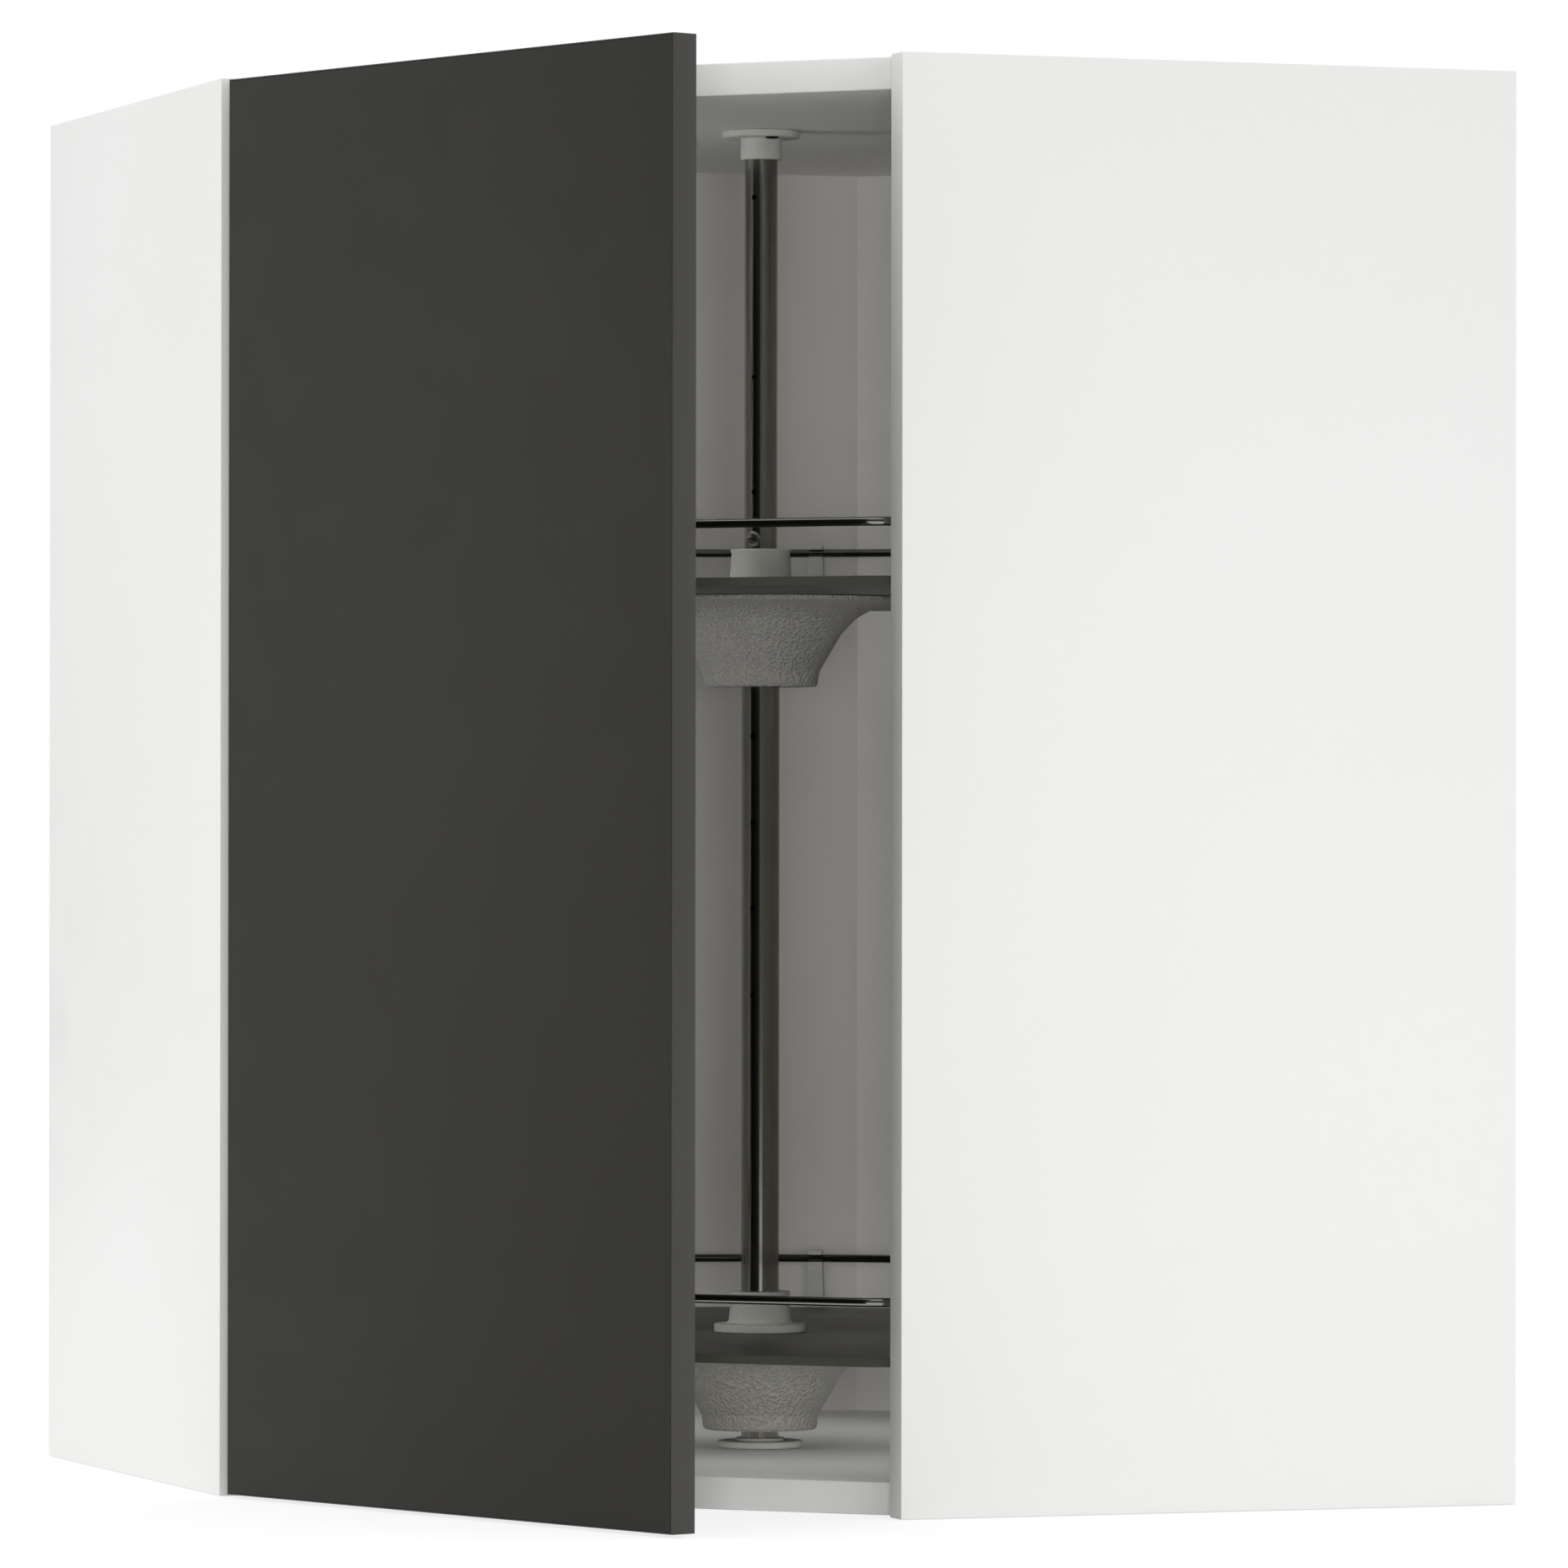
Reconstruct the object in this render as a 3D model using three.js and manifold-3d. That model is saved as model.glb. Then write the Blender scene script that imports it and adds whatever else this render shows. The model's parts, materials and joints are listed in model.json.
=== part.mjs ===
// Corner carousel cabinet: a wall-corner cupboard with a slanted door, and two D-shaped trays on a post.
// Units are millimetres and +Z is up. The origin is on the carousel's axis, on the cabinet's underside.
// The door faces -Y, the right side panel is at +X, and the door stands part open on its left hinges.
import * as THREE from "three";
import { mergeVertices } from "three/addons/utils/BufferGeometryUtils.js";
import Module from "manifold-3d";

const wasm = await Module();
wasm.setup();

// ---------------------------------------------------------------- driving dimensions

const CLEAR = 0.3; // between pieces that touch or are screwed together
const FACETS = 24; // round a full turn of a small part
const BOWL_FACETS = 32;
const TRAY_FACETS = 56; // along the tray's round edge
const CORNER_FACETS = 5; // along each of its corners
const WIRE_STEPS = 84;
const WIRE_SIDES = 8;
const HOLE_FACETS = 10;

const CABINET = {
  wallRun: 665, // along each wall, from the room's corner to the side panel's outer face
  sideDepth: 366, // of each side panel, from the wall
  height: 800,
  board: 18,
  railSetback: 15, // of the top and bottom panels' front edges, behind the side panels' inner corners
  backBoard: 3,
  backInset: 5, // of the back boards, from the wall
  cornerCut: 158, // where the diagonal board's inner face meets each wall, from the room's corner
};

const DOOR = {
  thickness: 16,
  endReveal: 1.5, // of its lower and upper edges, inside the carcass's
  sideReveal: 0.2, // of its side edges, inside the side panels' inner corners
  bumperGap: 2, // between its back and the side panels' inner corners, when closed
  edgeRadius: 0.8,
  openDeg: 25, // at rest
  pivotOut: 9.5, // of the hinge axis, in front of the side panels' inner corners
  pivotSide: 5, // of the hinge axis, outside the door's hinged edge
};

const HINGE = {
  fromEnds: 150, // of each hinge's middle, from the cabinet's underside and top
  cupRadius: 17.5,
  cupDepth: 11.5,
  cupWall: 1.2,
  cupInset: 22.5, // of the cup's centre, from the door's hinged edge
  flangeWidth: 52, // of the cup's flange, up and down
  flangeDepth: 24.5, // of the same, along the door's width
  flangeRound: 4,
  flangeThickness: 1.2,
  plateLength: 44,
  plateThickness: 5,
  plateBarHeight: 18.2,
  plateBevel: 0.6,
  wingHeight: 48, // from the tip of the plate's upper wing to the tip of its lower one
  wingLength: 18.5,
  wingThickness: 2.5,
  wingHoleRadius: 2.2,
  wingHoleInset: 6.7, // of the screw hole's centre, from the wing's tip
  plateBack: 14, // of the plate's front end, behind the side panel's front edge
  armWidth: 16,
  armThickness: 7,
  armBack: 8, // of the arm's wide part, behind the knuckle's pin
  armShort: 2, // of the arm's back end, ahead of the plate's
  armRamp: 6, // length of the slope at its back end
  neckSink: 2, // of the knuckle's neck, into the arm's wide part
  pinInset: 16.3, // of the pin in the cup, from the door's hinged edge
  pinDepth: 4.1, // of the same pin, into the door
  strutAcross: 15.5, // from pin to pin of the strut, along the closed door
  strutBack: 18.7, // from pin to pin of the strut, square to the closed door
  pinRadius: 1.6,
  pinClear: 0.3,
  knuckleRadius: 3,
  knuckleHeight: 8,
  cheek: 2.6, // thickness of the crank's two plates
  webThickness: 3.6, // of the web between them
  strutThickness: 4.4, // of the strut, between its eyes
  webInset: 6.3, // of the web's ends, from the crank's pins
  notchDepth: 1.8, // of the notch in the cup's rim, where the strut comes out of the open door
  notchGap: 0.6, // between the notch and the strut, above and below it
};

const POST = {
  lowerRadius: 11,
  wall: 1.2, // of both tubes
  slide: 0.3, // between the upper tube and the lower one
  overlap: 60, // of the upper tube inside the lower one
  basePlateRadius: 25,
  basePlateThickness: 4,
  baseLipWall: 2.7, // of the lip round the lower tube's foot
  baseLipHeight: 1.6,
  spigotHeight: 14,
  spigotChamfer: 1,
  edgeRound: 1.2, // of the base plate's and the socket flange's open edges
  footRound: 0.8, // of the base plate's lower edge
  socketFlangeRadius: 22.5,
  socketFlangeThickness: 4,
  socketWall: 2.2,
  socketHeight: 12.5,
  socketRoof: 2,
  socketChamfer: 0.6,
  holeRadius: 1.5,
  holePitch: 49.8,
  lowerHoleCount: 4,
  lowerHoleDrop: 29.2, // of the highest of them, under the upper bowl's foot
  upperHoleRises: [27.2, 93.6], // above the screw
  topHoleDrop: 38.9, // under the ceiling
  screwRise: 5.9, // of the screw's centre, above the upper tray's collar
  screwHeadRadius: 4.5,
  screwHeadHeight: 2.4,
  screwRim: 1, // height of the head's straight side
  screwShankRadius: 1.6,
  screwShankLength: 4,
  screwSlot: 1,
  screwSlotLength: 5,
  screwSlotDepth: 1.1,
};

const TRAY = {
  wallGap: 29.5, // of the round edge, from the back boards
  frontGap: 24.1, // of the straight front edge, behind the side panels' inner corners
  cornerRadius: 40,
  thickness: 5,
  edgeBevel: 1,
  centreHole: 20,
  spacing: 430.5, // from the lower plate to the upper one
};

const RIM = {
  wireRadius: 2.5,
  inset: 7.5, // of the wire's centre line, from the plate's edge
  height: 30.2, // of the wire's centre line, above the plate
  frontPostLead: 19, // degrees, of the front posts, past the tray's rounded corners
  backPostSpread: 18.5, // degrees, of the back posts, on each side of the middle
  postAbove: 4.8, // of the post's top, above the wire's centre line
  postTopWidth: 8.4,
  postFootWidth: 11,
  gripWall: 1, // on each side of the wire
  topChamfer: 0.8,
  footReach: 5.6,
  footHeight: 2.4,
  mouthPinch: 0.8, // by which the mouth, on the post's inner side, is lower than the wire that snaps in
};

const HUB = {
  bowlHeight: 51,
  bowlFoot: 33, // radius of the bowl's foot
  footRound: 1.2,
  flangeRadius: 95,
  shoulder: [29, 5.8], // where the flare meets the flange: in from its edge, and down from its top
  flareStart: [2.5, 26], // the curve's first pull: out from the foot, and up
  flareEnd: [16, 7.2], // its second pull: in from the shoulder, and down
  wall: 2.6,
  sleeveHeight: 14,
  sleeveWall: 3,
  bore: 0.5, // between the hub and the tube that it turns on
  overBase: 5, // of the lower bowl's foot, above the base's lip
  collarHeight: 23.4,
  collarTop: 17,
  collarNeck: 18,
  collarFlangeRadius: 26.75,
  collarFlangeThickness: 4.6,
  collarRound: 1, // of the flange's upper edge
  collarFillet: 2.8, // between the flange and the neck
  collarLip: 1.2, // of the bead round the collar's mouth
  spigotGap: 0.6, // between the collar's spigot and the plate's hole
  ringWall: 5.2,
  ringHeight: 8,
  ringChamfer: 1,
  ringDrop: 2, // of the bearing ring's top, under the plate
};

const HANGER = {
  width: 42,
  height: 58,
  thickness: 2.5,
  bevel: 0.4,
  fromTop: 22,
  fromBack: 24, // from the back board
  bossRadius: 9,
  bossHeight: 6,
  hookReach: 19, // behind the plate's back edge
  hookDrop: 9, // under the plate's top edge
  hookSink: 3, // of the hook's root, into the plate
  holeRadius: 2,
  holeInset: 7.5, // from the plate's top and bottom edges
};

// ---------------------------------------------------------------- derived places

const rad = THREE.MathUtils.degToRad;
const SQRT1_2 = Math.SQRT1_2;

// The carousel's axis stands midway between the back boards and the side panels' inner faces.
const backFace = CABINET.backInset + CABINET.backBoard;
const sideFace = CABINET.wallRun - CABINET.board;
const axisFromWall = (backFace + sideFace) / 2;

// A point given by its distances from the left-hand and right-hand walls, as seen from the room.
const fromWalls = (left, right) =>
  new THREE.Vector2((left - right) * SQRT1_2, (2 * axisFromWall - left - right) * SQRT1_2);

const leftCorner = fromWalls(CABINET.sideDepth, sideFace); // inner front corner of the left side panel
const rightCorner = fromWalls(sideFace, CABINET.sideDepth);
const frontFace = leftCorner.y;
const ceiling = CABINET.height - CABINET.board;

const doorBack = frontFace - DOOR.bumperGap;
const doorLeft = leftCorner.x + DOOR.sideReveal;
const doorWidth = -2 * doorLeft;
const doorHeight = CABINET.height - 2 * DOOR.endReveal;
const pivot = new THREE.Vector2(doorLeft - DOOR.pivotSide, frontFace - DOOR.pivotOut);
const hingeHeights = {
  lower: HINGE.fromEnds,
  upper: CABINET.height - HINGE.fromEnds,
};

// The hinge is a parallelogram, so that the door turns about an axis outside the cabinet: the crank stays
// parallel to the line from that axis to the pin in the cup, and the strut keeps its direction.
const cupPin = new THREE.Vector2(doorLeft + HINGE.pinInset, doorBack - HINGE.pinDepth);
const crankPin = new THREE.Vector2(pivot.x + HINGE.strutAcross, pivot.y + HINGE.strutBack);
const crankReach = cupPin.clone().sub(pivot);
const strutReach = pivot.clone().sub(crankPin);
const restTurn = -rad(DOOR.openDeg);
const strutPin = crankPin.clone().add(crankReach.clone().rotateAround(new THREE.Vector2(), restTurn));

const postFoot = CABINET.board + CLEAR;
const baseTop = postFoot + POST.basePlateThickness;
const upperRadius = POST.lowerRadius - POST.wall - POST.slide;

// The lower tray stands clear of the base, and the upper tray is set by the tubes.
const bowlFootDrop = TRAY.thickness + CLEAR + HUB.bowlHeight; // from a plate's upper face
const lowerTray = baseTop + POST.baseLipHeight + HUB.overBase + bowlFootDrop;
const trays = { lower: lowerTray, upper: lowerTray + TRAY.spacing };
const trayRadius = axisFromWall - backFace - TRAY.wallGap;
const trayChord = -frontFace - TRAY.frontGap; // of the straight front edge, from the axis
const ringTop = (trayTop) => trayTop - TRAY.thickness - HUB.ringDrop;

// The centre of a tray's right-hand corner. The round edge runs from there to its mirror image.
const cornerY = TRAY.cornerRadius - trayChord;
const cornerX = Math.sqrt((trayRadius - TRAY.cornerRadius) ** 2 - cornerY ** 2);
const edgeStart = Math.atan2(cornerY, cornerX);

const lowerTubeFoot = baseTop + CLEAR;
const lowerTubeTop = ringTop(trays.upper);
const socketTop = ceiling - CLEAR;
const upperTubeTop = socketTop - POST.socketRoof - CLEAR;
const screwHeight = trays.upper + HUB.collarHeight + POST.screwRise;

// ---------------------------------------------------------------- finishes

const finish = (color, roughness, metalness = 0) =>
  new THREE.MeshStandardMaterial({ color, roughness, metalness });
const FINISH = {
  whiteBoard: finish(0xf2f2f0, 0.55),
  backBoard: finish(0xe2e2de, 0.7),
  darkFront: finish(0x3c3b38, 0.6),
  smokedPlate: finish(0x42423e, 0.15),
  grainedPlastic: finish(0xc4c4bb, 0.65),
  smoothPlastic: finish(0xc8c8c0, 0.5),
  postSteel: finish(0x66655f, 0.3, 1),
  brightSteel: finish(0xb9b8b4, 0.25, 1),
};

// ---------------------------------------------------------------- solids

const cabinet = new THREE.Group();

function solid(geometry) {
  const bare = geometry.clone();
  bare.deleteAttribute("normal");
  bare.deleteAttribute("uv");
  const merged = mergeVertices(bare, 1e-4);
  return new wasm.Manifold(
    new wasm.Mesh({
      numProp: 3,
      vertProperties: new Float32Array(merged.attributes.position.array),
      triVerts: new Uint32Array(merged.index.array),
    }),
  );
}

function geometryOf(made) {
  const { vertProperties, triVerts } = made.getMesh();
  const geometry = new THREE.BufferGeometry();
  geometry.setAttribute("position", new THREE.BufferAttribute(vertProperties, 3));
  geometry.setIndex(new THREE.BufferAttribute(triVerts, 1));
  geometry.computeVertexNormals();
  return geometry;
}

const cut = (body, ...tools) =>
  geometryOf(tools.reduce((left, tool) => left.subtract(solid(tool)), solid(body)));
const join = (...bodies) => geometryOf(bodies.map(solid).reduce((whole, next) => whole.add(next)));
const common = (first, second) => geometryOf(solid(first).intersect(solid(second)));

function add(parent, name, geometry, material) {
  const mesh = new THREE.Mesh(geometry, material);
  mesh.name = name;
  parent.add(mesh);
  return mesh;
}

// A flat outline in X and Y, raised from one height to another.
function upright(shape, low, high, curveSegments = HOLE_FACETS) {
  const geometry = new THREE.ExtrudeGeometry(shape, {
    depth: high - low,
    bevelEnabled: false,
    curveSegments,
  });
  return geometry.translate(0, 0, low);
}

// The same, with a bevel round both edges and the full size kept.
function uprightBevelled(shape, low, high, bevel, curveSegments, bevelSegments = 1) {
  const geometry = new THREE.ExtrudeGeometry(shape, {
    depth: high - low - 2 * bevel,
    bevelSize: bevel,
    bevelThickness: bevel,
    bevelOffset: -bevel,
    bevelSegments,
    curveSegments,
  });
  return geometry.translate(0, 0, low + bevel);
}

const polygon = (...points) => new THREE.Shape(points);
const rectangle = (x0, y0, x1, y1) =>
  polygon(
    new THREE.Vector2(x0, y0),
    new THREE.Vector2(x1, y0),
    new THREE.Vector2(x1, y1),
    new THREE.Vector2(x0, y1),
  );

// A closed profile of [radius, height] pairs, turned about the Z axis.
function turned(profile, segments = FACETS) {
  const points = profile.map(([r, z]) => new THREE.Vector2(r, z));
  if (THREE.ShapeUtils.area(points) < 0) points.reverse();
  const onAxis = points[0].x === 0 && points.at(-1).x === 0;
  if (!onAxis) points.push(points[0].clone());
  return new THREE.LatheGeometry(points, segments).rotateX(Math.PI / 2);
}

const tube = (outer, inner, low, high, segments = FACETS) =>
  turned(
    [
      [outer, low],
      [outer, high],
      [inner, high],
      [inner, low],
    ],
    segments,
  );

// A drill along Y, through the wall that faces the door.
const drill = (radius, height, reach) =>
  new THREE.CylinderGeometry(radius, radius, reach, HOLE_FACETS).translate(0, -reach / 2, height);

// ---------------------------------------------------------------- carcass

function sidePanel(name, outline) {
  add(cabinet, name, upright(polygon(...outline), 0, CABINET.height), FINISH.whiteBoard);
}

const { wallRun, sideDepth, backInset, cornerCut, board } = CABINET;

sidePanel("left_side_panel", [
  fromWalls(0, wallRun),
  fromWalls(sideDepth, wallRun),
  fromWalls(sideDepth, sideFace),
  fromWalls(0, sideFace),
]);
sidePanel("right_side_panel", [
  fromWalls(wallRun, 0),
  fromWalls(sideFace, 0),
  fromWalls(sideFace, sideDepth),
  fromWalls(wallRun, sideDepth),
]);

// The top and bottom panels: a square with its back corner and its front corner cut off.
const panelSide = sideFace - CLEAR;
const boardBack = cornerCut - board * Math.SQRT2; // the diagonal board's outer face, along each wall
const railLine = frontFace + CABINET.railSetback;
const railReach = 2 * axisFromWall - railLine / SQRT1_2 - panelSide;
const shelfOutline = [
  fromWalls(backInset, panelSide),
  fromWalls(railReach, panelSide),
  fromWalls(panelSide, railReach),
  fromWalls(panelSide, backInset),
  fromWalls(boardBack - backInset, backInset),
  fromWalls(backInset, boardBack - backInset),
];
add(cabinet, "bottom_panel", upright(polygon(...shelfOutline), 0, board), FINISH.whiteBoard);
add(cabinet, "top_panel", upright(polygon(...shelfOutline), ceiling, CABINET.height), FINISH.whiteBoard);

const wallLow = board + CLEAR;
const wallHigh = ceiling - CLEAR;
const backStart = cornerCut - backInset + CLEAR; // the back boards are mitred against the diagonal board
const mitreEnd = backStart - CABINET.backBoard;
add(
  cabinet,
  "left_back_panel",
  upright(
    polygon(
      fromWalls(backInset, panelSide),
      fromWalls(backFace, panelSide),
      fromWalls(backFace, mitreEnd),
      fromWalls(backInset, backStart),
    ),
    wallLow,
    wallHigh,
  ),
  FINISH.backBoard,
);
add(
  cabinet,
  "right_back_panel",
  upright(
    polygon(
      fromWalls(panelSide, backInset),
      fromWalls(backStart, backInset),
      fromWalls(mitreEnd, backFace),
      fromWalls(panelSide, backFace),
    ),
    wallLow,
    wallHigh,
  ),
  FINISH.backBoard,
);
add(
  cabinet,
  "back_corner_panel",
  upright(
    polygon(
      fromWalls(backInset, cornerCut - backInset),
      fromWalls(cornerCut - backInset, backInset),
      fromWalls(boardBack - backInset, backInset),
      fromWalls(backInset, boardBack - backInset),
    ),
    wallLow,
    wallHigh,
  ),
  FINISH.backBoard,
);

// ---------------------------------------------------------------- wall hangers

// A plate on the side panel, with an adjuster's boss on it and a hook that reaches back to the wall rail.
function hangerGeometry() {
  const { width, height, thickness, bevel, bossRadius, bossHeight } = HANGER;
  const { hookReach, hookDrop, hookSink, holeRadius, holeInset } = HANGER;
  const plate = uprightBevelled(rectangle(0, 0, width, height), 0, thickness, bevel);
  const boss = new THREE.CylinderGeometry(bossRadius, bossRadius, bossHeight + thickness, FACETS / 2)
    .rotateX(Math.PI / 2)
    .translate(width / 2, height / 2, (bossHeight + thickness) / 2 + bevel);
  const hook = upright(
    rectangle(-hookReach, height - hookDrop - thickness, hookSink, height - hookDrop + thickness),
    0,
    thickness,
  );
  const screwHoles = [holeInset, height - holeInset].map((y) =>
    new THREE.CylinderGeometry(holeRadius, holeRadius, thickness * 4, HOLE_FACETS)
      .rotateX(Math.PI / 2)
      .translate(width / 2, y, 0),
  );
  return cut(join(plate, boss, hook), ...screwHoles);
}

// A frame on a side panel's inner face: local X runs along the panel towards the room,
// local Y is up, and local Z points into the cabinet.
function panelFrame(cornerPoint, side) {
  const frame = new THREE.Group();
  const along = new THREE.Vector3(-side * SQRT1_2, -SQRT1_2, 0);
  const up = new THREE.Vector3(0, 0, 1);
  const inward = new THREE.Vector3(-side * SQRT1_2, SQRT1_2, 0);
  frame.matrix.makeBasis(along, up, inward).setPosition(cornerPoint.x, cornerPoint.y, 0);
  frame.matrixAutoUpdate = false;
  cabinet.add(frame);
  return frame;
}

const hangerBase = ceiling - HANGER.fromTop - HANGER.height;
for (const [name, side, corner] of [
  ["left_hanger_bracket", -1, leftCorner],
  ["right_hanger_bracket", 1, rightCorner],
]) {
  const holder = panelFrame(corner, side);
  const along = HANGER.fromBack + backFace - sideDepth;
  add(holder, name, hangerGeometry().translate(along, hangerBase, CLEAR), FINISH.brightSteel);
}

// ---------------------------------------------------------------- door

const swing = new THREE.Group(); // turns about the hinge axis; its children are drawn as if closed
swing.position.set(pivot.x, pivot.y, 0);
swing.rotation.z = restTurn;
cabinet.add(swing);
const doorSpace = new THREE.Group();
doorSpace.position.set(-pivot.x, -pivot.y, 0);
swing.add(doorSpace);

const cupX = doorLeft + HINGE.cupInset;

function cupBore(height) {
  const { cupRadius, cupDepth } = HINGE;
  const depth = cupDepth + CLEAR;
  return new THREE.CylinderGeometry(cupRadius + CLEAR, cupRadius + CLEAR, 2 * depth, FACETS)
    .translate(cupX, doorBack, height);
}

function doorGeometry() {
  const slab = uprightBevelled(
    rectangle(doorLeft, DOOR.endReveal, doorLeft + doorWidth, DOOR.endReveal + doorHeight),
    0,
    DOOR.thickness,
    DOOR.edgeRadius,
    1,
    2,
  )
    .rotateX(Math.PI / 2)
    .translate(0, doorBack, 0);
  return cut(slab, ...Object.values(hingeHeights).map(cupBore));
}
add(doorSpace, "door_panel", doorGeometry(), FINISH.darkFront);

// The cup: a round pan let into the door, with a flange that lies on the door's back and a pin across it.
// It is drawn with its mouth up, and then laid on the door.
function cupGeometry(height) {
  const { cupRadius, cupDepth, cupWall, flangeWidth, flangeDepth, flangeThickness, flangeRound } = HINGE;
  const lip = flangeThickness + CLEAR;
  const inner = cupRadius - cupWall;
  const pan = turned(
    [
      [0, -cupDepth],
      [inner, -cupDepth],
      [cupRadius, -cupDepth + cupWall],
      [cupRadius, lip],
      [inner, lip],
      [inner, cupWall - cupDepth],
      [0, cupWall - cupDepth],
    ],
  );
  const across = flangeWidth / 2 - flangeRound;
  const tall = flangeDepth / 2 - flangeRound;
  const outline = new THREE.Shape();
  outline.absarc(across, tall, flangeRound, 0, Math.PI / 2, false);
  outline.absarc(-across, tall, flangeRound, Math.PI / 2, Math.PI, false);
  outline.absarc(-across, -tall, flangeRound, Math.PI, Math.PI * 1.5, false);
  outline.absarc(across, -tall, flangeRound, Math.PI * 1.5, Math.PI * 2, false);
  const middle = (inner + cupRadius) / 2;
  const mouth = new THREE.CylinderGeometry(middle, middle, 4 * cupDepth, FACETS).rotateX(Math.PI / 2);
  const wings = cut(upright(outline, CLEAR, lip, 3), mouth);
  const pinOffset = cupX - cupPin.x;
  const pinHalf = Math.sqrt(middle ** 2 - pinOffset ** 2);
  const crossPin = new THREE.CylinderGeometry(HINGE.pinRadius, HINGE.pinRadius, 2 * pinHalf, HOLE_FACETS)
    .rotateZ(Math.PI / 2)
    .translate(0, pinOffset, -HINGE.pinDepth);
  const notchHeight = HINGE.knuckleHeight + 2 * HINGE.notchGap;
  const notch = new THREE.BoxGeometry(notchHeight, cupRadius, 2 * HINGE.notchDepth)
    .translate(0, cupRadius, 0);
  return join(cut(pan, notch), wings, crossPin)
    .rotateZ(Math.PI / 2)
    .rotateX(-Math.PI / 2)
    .translate(cupX, doorBack, height);
}

// ---------------------------------------------------------------- hinges on the left side panel

function hingePlateGeometry() {
  const { plateLength, plateThickness, plateBarHeight, plateBevel } = HINGE;
  const { wingHeight, wingLength, wingThickness, wingHoleRadius, wingHoleInset } = HINGE;
  const middle = plateLength / 2;
  const block = (length, height, thickness) =>
    uprightBevelled(
      rectangle(middle - length / 2, -height / 2, middle + length / 2, height / 2),
      0,
      thickness,
      plateBevel,
    );
  const holeHeight = wingHeight / 2 - wingHoleInset;
  const screwHoles = [-holeHeight, holeHeight].map((y) =>
    new THREE.CylinderGeometry(wingHoleRadius, wingHoleRadius, plateThickness * 4, HOLE_FACETS)
      .rotateX(Math.PI / 2)
      .translate(middle, y, 0),
  );
  return cut(
    join(block(plateLength, plateBarHeight, plateThickness), block(wingLength, wingHeight, wingThickness)),
    ...screwHoles,
  );
}

// A bar with round ends between two points of the plan, from one height to another.
function bar(from, to, radius, low, high) {
  const angle = Math.atan2(to.y - from.y, to.x - from.x);
  const outline = new THREE.Shape();
  outline.absarc(to.x, to.y, radius, angle - Math.PI / 2, angle + Math.PI / 2, false);
  outline.absarc(from.x, from.y, radius, angle + Math.PI / 2, angle + Math.PI * 1.5, false);
  return upright(outline, low, high, 5);
}

function pin(at, radius, halfHeight, facets = HOLE_FACETS) {
  return new THREE.CylinderGeometry(radius, radius, 2 * halfHeight, facets)
    .rotateX(Math.PI / 2)
    .translate(at.x, at.y, 0);
}

const pinBore = (at) => pin(at, HINGE.pinRadius + HINGE.pinClear, HINGE.armWidth);
const planOrigin = new THREE.Vector2();

// The crank: two plates on a web, with a pin at each end. It turns on the arm.
function crankGeometry() {
  const { knuckleRadius, knuckleHeight, cheek, pinRadius, pinClear, webThickness } = HINGE;
  const low = knuckleHeight / 2 + pinClear;
  const high = low + cheek;
  const webEnd = HINGE.webInset + webThickness / 2;
  const unit = crankReach.clone().normalize();
  const webFrom = unit.clone().multiplyScalar(webEnd);
  const webTo = unit.clone().multiplyScalar(crankReach.length() - webEnd);
  return join(
    bar(planOrigin, crankReach, knuckleRadius, low, high),
    bar(planOrigin, crankReach, knuckleRadius, -high, -low),
    bar(webFrom, webTo, webThickness / 2, -low, low),
    pin(planOrigin, pinRadius, high),
    pin(crankReach, pinRadius, high),
  );
}

// The strut: one bar with an eye at each end, from the crank to the pin in the cup.
function strutGeometry() {
  const { knuckleRadius, knuckleHeight, strutThickness } = HINGE;
  const half = knuckleHeight / 2;
  const eye = (at) => pin(at, knuckleRadius, half, FACETS / 2);
  const web = bar(planOrigin, strutReach, strutThickness / 2, -half, half);
  return cut(join(web, eye(planOrigin), eye(strutReach)), pinBore(planOrigin), pinBore(strutReach));
}

// The arm: a block on the mounting plate that narrows to a knuckle for the crank's pin.
function armGeometry() {
  const { armWidth, armThickness, armBack, armShort, armRamp, neckSink, knuckleRadius } = HINGE;
  const { plateLength, plateThickness, plateBack } = HINGE;
  const along = new THREE.Vector2(SQRT1_2, -SQRT1_2);
  const inward = new THREE.Vector2(SQRT1_2, SQRT1_2);
  const toPin = crankPin.clone().sub(leftCorner);
  const pinAlong = toPin.dot(along);
  const pinInward = toPin.dot(inward);
  const at = (u, v) => leftCorner.clone().addScaledVector(along, u).addScaledVector(inward, v);
  const back = -plateBack - plateLength + armShort;
  const seat = plateThickness + 2 * CLEAR;
  const front = pinAlong - armBack;
  const top = Math.max(seat + armThickness, pinInward + knuckleRadius);
  const block = polygon(
    at(back, seat),
    at(front, seat),
    at(front, top),
    at(back + armRamp, seat + armThickness),
    at(back, seat + armThickness / 2),
  );
  const half = armWidth / 2;
  const knuckleHalf = HINGE.knuckleHeight / 2;
  const neck = bar(at(front - neckSink, pinInward), crankPin, knuckleRadius, -knuckleHalf, knuckleHalf);
  return cut(join(upright(block, -half, half), neck), pinBore(crankPin));
}

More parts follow.
